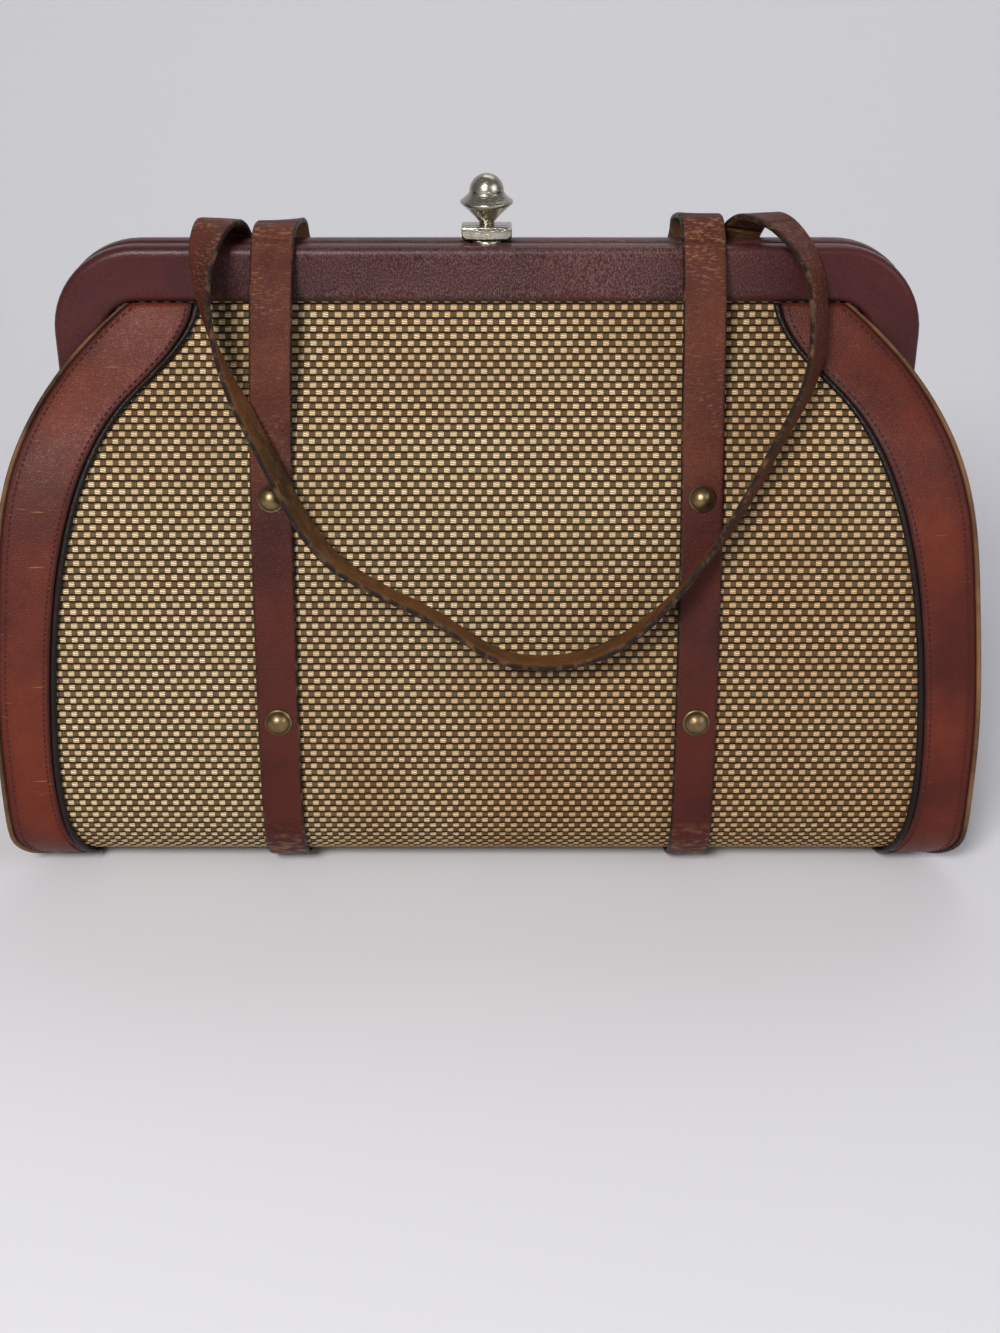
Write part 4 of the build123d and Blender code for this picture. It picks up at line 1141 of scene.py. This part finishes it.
def strap_stretch(strap, start, end, name):
    """The piece of a strap between two distances, in whichever order they are given."""
    start, end = min(start, end), max(start, end)
    steps = max(4, round((end - start) / STRAP_FINE))

    def place(u, v):
        distance = round(start + u * (end - start), 4)
        middle, across, finished = strap.section(distance)
        side, up = ring_point(v if v < 1 else 0.0)
        wave = noise.noise(Vector((distance / WAVE_LENGTH, side / WAVE_LENGTH, strap.front * 4.0)))
        up += LEATHER_WAVE * wave - STRAP_THICKNESS / 2
        return middle + across * (side - STRAP_WIDTH / 2) + finished * up

    mesh = laid_grid(steps, AROUND, place, ((end - start) / 10, 1.0), rolled=True)
    return finish_piece(mesh, name, STRAP if strap.front > 0 else SHADED_BACK_STRAP)


for node, strap in straps.items():
    front = strap.front
    near, middle, far = (strap.crossings(y) for y in (-front * COVER_FACE, 0.0, front * COVER_FACE))
    hang(strap_stretch(strap, 0.0, near[0], f"{node}_leg_left"), front, node)
    hang(strap_stretch(strap, near[1], strap.track.length, f"{node}_leg_right"), front, node)
    hang(strap_stretch(strap, *far, f"{node}_loop"), -front, node)
    for n, side_name in enumerate(("left", "right")):
        for half, part, outer in ((front, "near", near), (-front, "far", far)):
            piece = strap_stretch(strap, outer[n], middle[n], f"{node}_over_{side_name}_{part}")
            -half * COVER_FACE * MM
            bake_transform(piece)
            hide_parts(node)

# %% [markdown]
# The block under the finial is a pressed metal cup: from the front it is a smooth bar with rounded lower corners.
# The solid shows its slot and nose there, so a slab covers them: a cube whose lower corners get a large bevel and
# whose edges get a small one. It clears the keeper.

# %% The clasp's front
CUP_WIDTH, CUP_THICKNESS, CUP_HEIGHT, CUP_FRONT, CUP_LAP = 16.3, 3.0, 4.15, -1.0, 0.3
CUP_CORNER, CUP_EDGE = 2.2, 0.5
BEVEL = {"affect": "EDGES", "profile": 0.5, "material": -1}


def bevelled_slab(size, corner, edge):
    """A slab in the XZ plane whose two lower corners are round and whose edges are soft."""
    mesh = bmesh.new()
    bmesh.ops.create_cube(mesh, size=1.0)
    bmesh.ops.transform(mesh, matrix=Matrix.Diagonal((*(Vector(size) * MM), 1)), verts=mesh.verts)
    for side in (-1, 1):
        low = [e for e in mesh.edges if all(v.co.z < 0 and v.co.x * side > 0 for v in e.verts)]
        bmesh.ops.bevel(mesh, geom=low, offset=corner * MM, segments=8, **BEVEL)
    rims = [e for e in mesh.edges if e.calc_face_angle(0) > 1.0]
    bmesh.ops.bevel(mesh, geom=rims, offset=edge * MM, segments=3, **BEVEL)
    return mesh


mesh = bevelled_slab((CUP_WIDTH, CUP_THICKNESS, CUP_HEIGHT), CUP_CORNER, CUP_EDGE)
middle = Vector((0, CUP_FRONT - CUP_THICKNESS / 2 + CUP_LAP, BLOCK_TOP - CUP_HEIGHT / 2)) * MM
bmesh.ops.translate(mesh, vec=middle, verts=mesh.verts)
fixed(finish_piece(mesh, "clasp_front", NICKEL), "clasp")

# %% [markdown]
# What the solids already show rightly keeps its own mesh and gets a real finish: the steel inside the covers, the
# pivots, the clasp's block, boss and pin, the keeper plate and the board.

# %% Finishes for the solids that stay
KEPT = (
    (STEEL, ("front_frame_core", "rear_frame_core", "hinge_pin_left", "hinge_pin_right", "clasp_pin")),
    (NICKEL, ("clasp_boss", "clasp_block", "clasp_keeper")),
    (BOARD, ("bottom_board",)),
)
for finish, nodes in KEPT:
    for node in nodes:
        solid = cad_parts[node]
        solid.data.materials.clear()
        solid.data.materials.append(finish)
    print(finish.name, "on", ", ".join(nodes))

# %% [markdown]
# The stage is a pale floor that curves up behind the bag, like a photographer's paper roll, so that no corner
# shows. It is a grid along a line with a quarter circle in it.

# %% Floor
FLOOR_FRONT, FLOOR_BACK, FLOOR_HALF, FLOOR_RADIUS, WALL = -2200.0, 900.0, 2600.0, 700.0, 1500.0
FLOOR_GRID, FLOOR_COLOUR = (2, 60), (0.66, 0.66, 0.70)
floor_line = Track(
    [
        (FLOOR_FRONT, 0),
        (FLOOR_BACK - FLOOR_RADIUS, 0),
        *arc((FLOOR_BACK - FLOOR_RADIUS, FLOOR_RADIUS), FLOOR_RADIUS, -90, 0, 24),
        (FLOOR_BACK, WALL),
    ]
)


def floor_place(u, v):
    y, z = floor_line.at(v * floor_line.length)
    return (u - 0.5) * 2 * FLOOR_HALF, y, z


mesh = laid_grid(*FLOOR_GRID, floor_place)
face_outwards(mesh, (0, -0.5, 1))
paper = Bench("pale_floor").done(Base_Color=FLOOR_COLOUR, Roughness=0.85)
finish_piece(mesh, "floor", paper)

# %% [markdown]
# The light is soft and even, from a pale room and two broad lamps, with one smaller and brighter lamp near the
# camera, as a flash would be. That one gives the metal and the glossy leather their highlights.

# %% Room and lamps
ROOM_COLOUR, ROOM_STRENGTH = (0.95, 0.97, 1.0, 1), 0.20
scene = bpy.context.scene
scene.view_settings.view_transform = "Standard"
scene.world = bpy.data.worlds.new("soft_room")
scene.world.use_nodes = True
background = scene.world.node_tree.nodes["Background"]
background.inputs["Color"].default_value = ROOM_COLOUR
background.inputs["Strength"].default_value = ROOM_STRENGTH


def lamp(name, place, aim, size, power, colour):
    light = bpy.data.lights.new(name, "AREA")
    light.size, light.energy, light.color = size, power, colour
    holder = bpy.data.objects.new(name, light)
    holder.location = place
    holder.rotation_euler = (Vector(aim) - Vector(place)).to_track_quat("-Z", "Y").to_euler()
    scene.collection.objects.link(holder)
    print("lamp", name, power, "W")


lamp("key", (-0.40, -1.15, 0.95), (0, 0, 0.1), 0.40, 21.0, (1.0, 0.97, 0.93))
lamp("fill", (1.3, -0.9, 0.9), (0, 0, 0.1), 1.0, 8.5, (0.95, 0.97, 1.0))
lamp("back", (0.2, 0.9, 1.3), (0, 0, 0.15), 0.9, 6.0, (1.0, 1.0, 1.0))

# %% [markdown]
# The camera looks down on the bag from arm's length. Its place and its lens were fitted so that the frame, the
# studs and the straps of the solids lie where the photograph shows them.

# %% Camera
CAMERA_PLACE, CAMERA_PITCH, FOCAL_PIXELS, LONG_SIDE, SENSOR = (4.3, -555.7, 337.9), 27.0, 1700.0, 1333.0, 36.0
lens = bpy.data.cameras.new("camera")
lens.sensor_width, lens.lens, lens.clip_start = SENSOR, FOCAL_PIXELS / LONG_SIDE * SENSOR, 0.01
camera = bpy.data.objects.new("camera", lens)
camera.location = Vector(CAMERA_PLACE) * MM
camera.rotation_euler = (math.radians(90 - CAMERA_PITCH), 0, 0)
scene.collection.objects.link(camera)
scene.camera = camera
print("lens", round(lens.lens, 1), "mm")
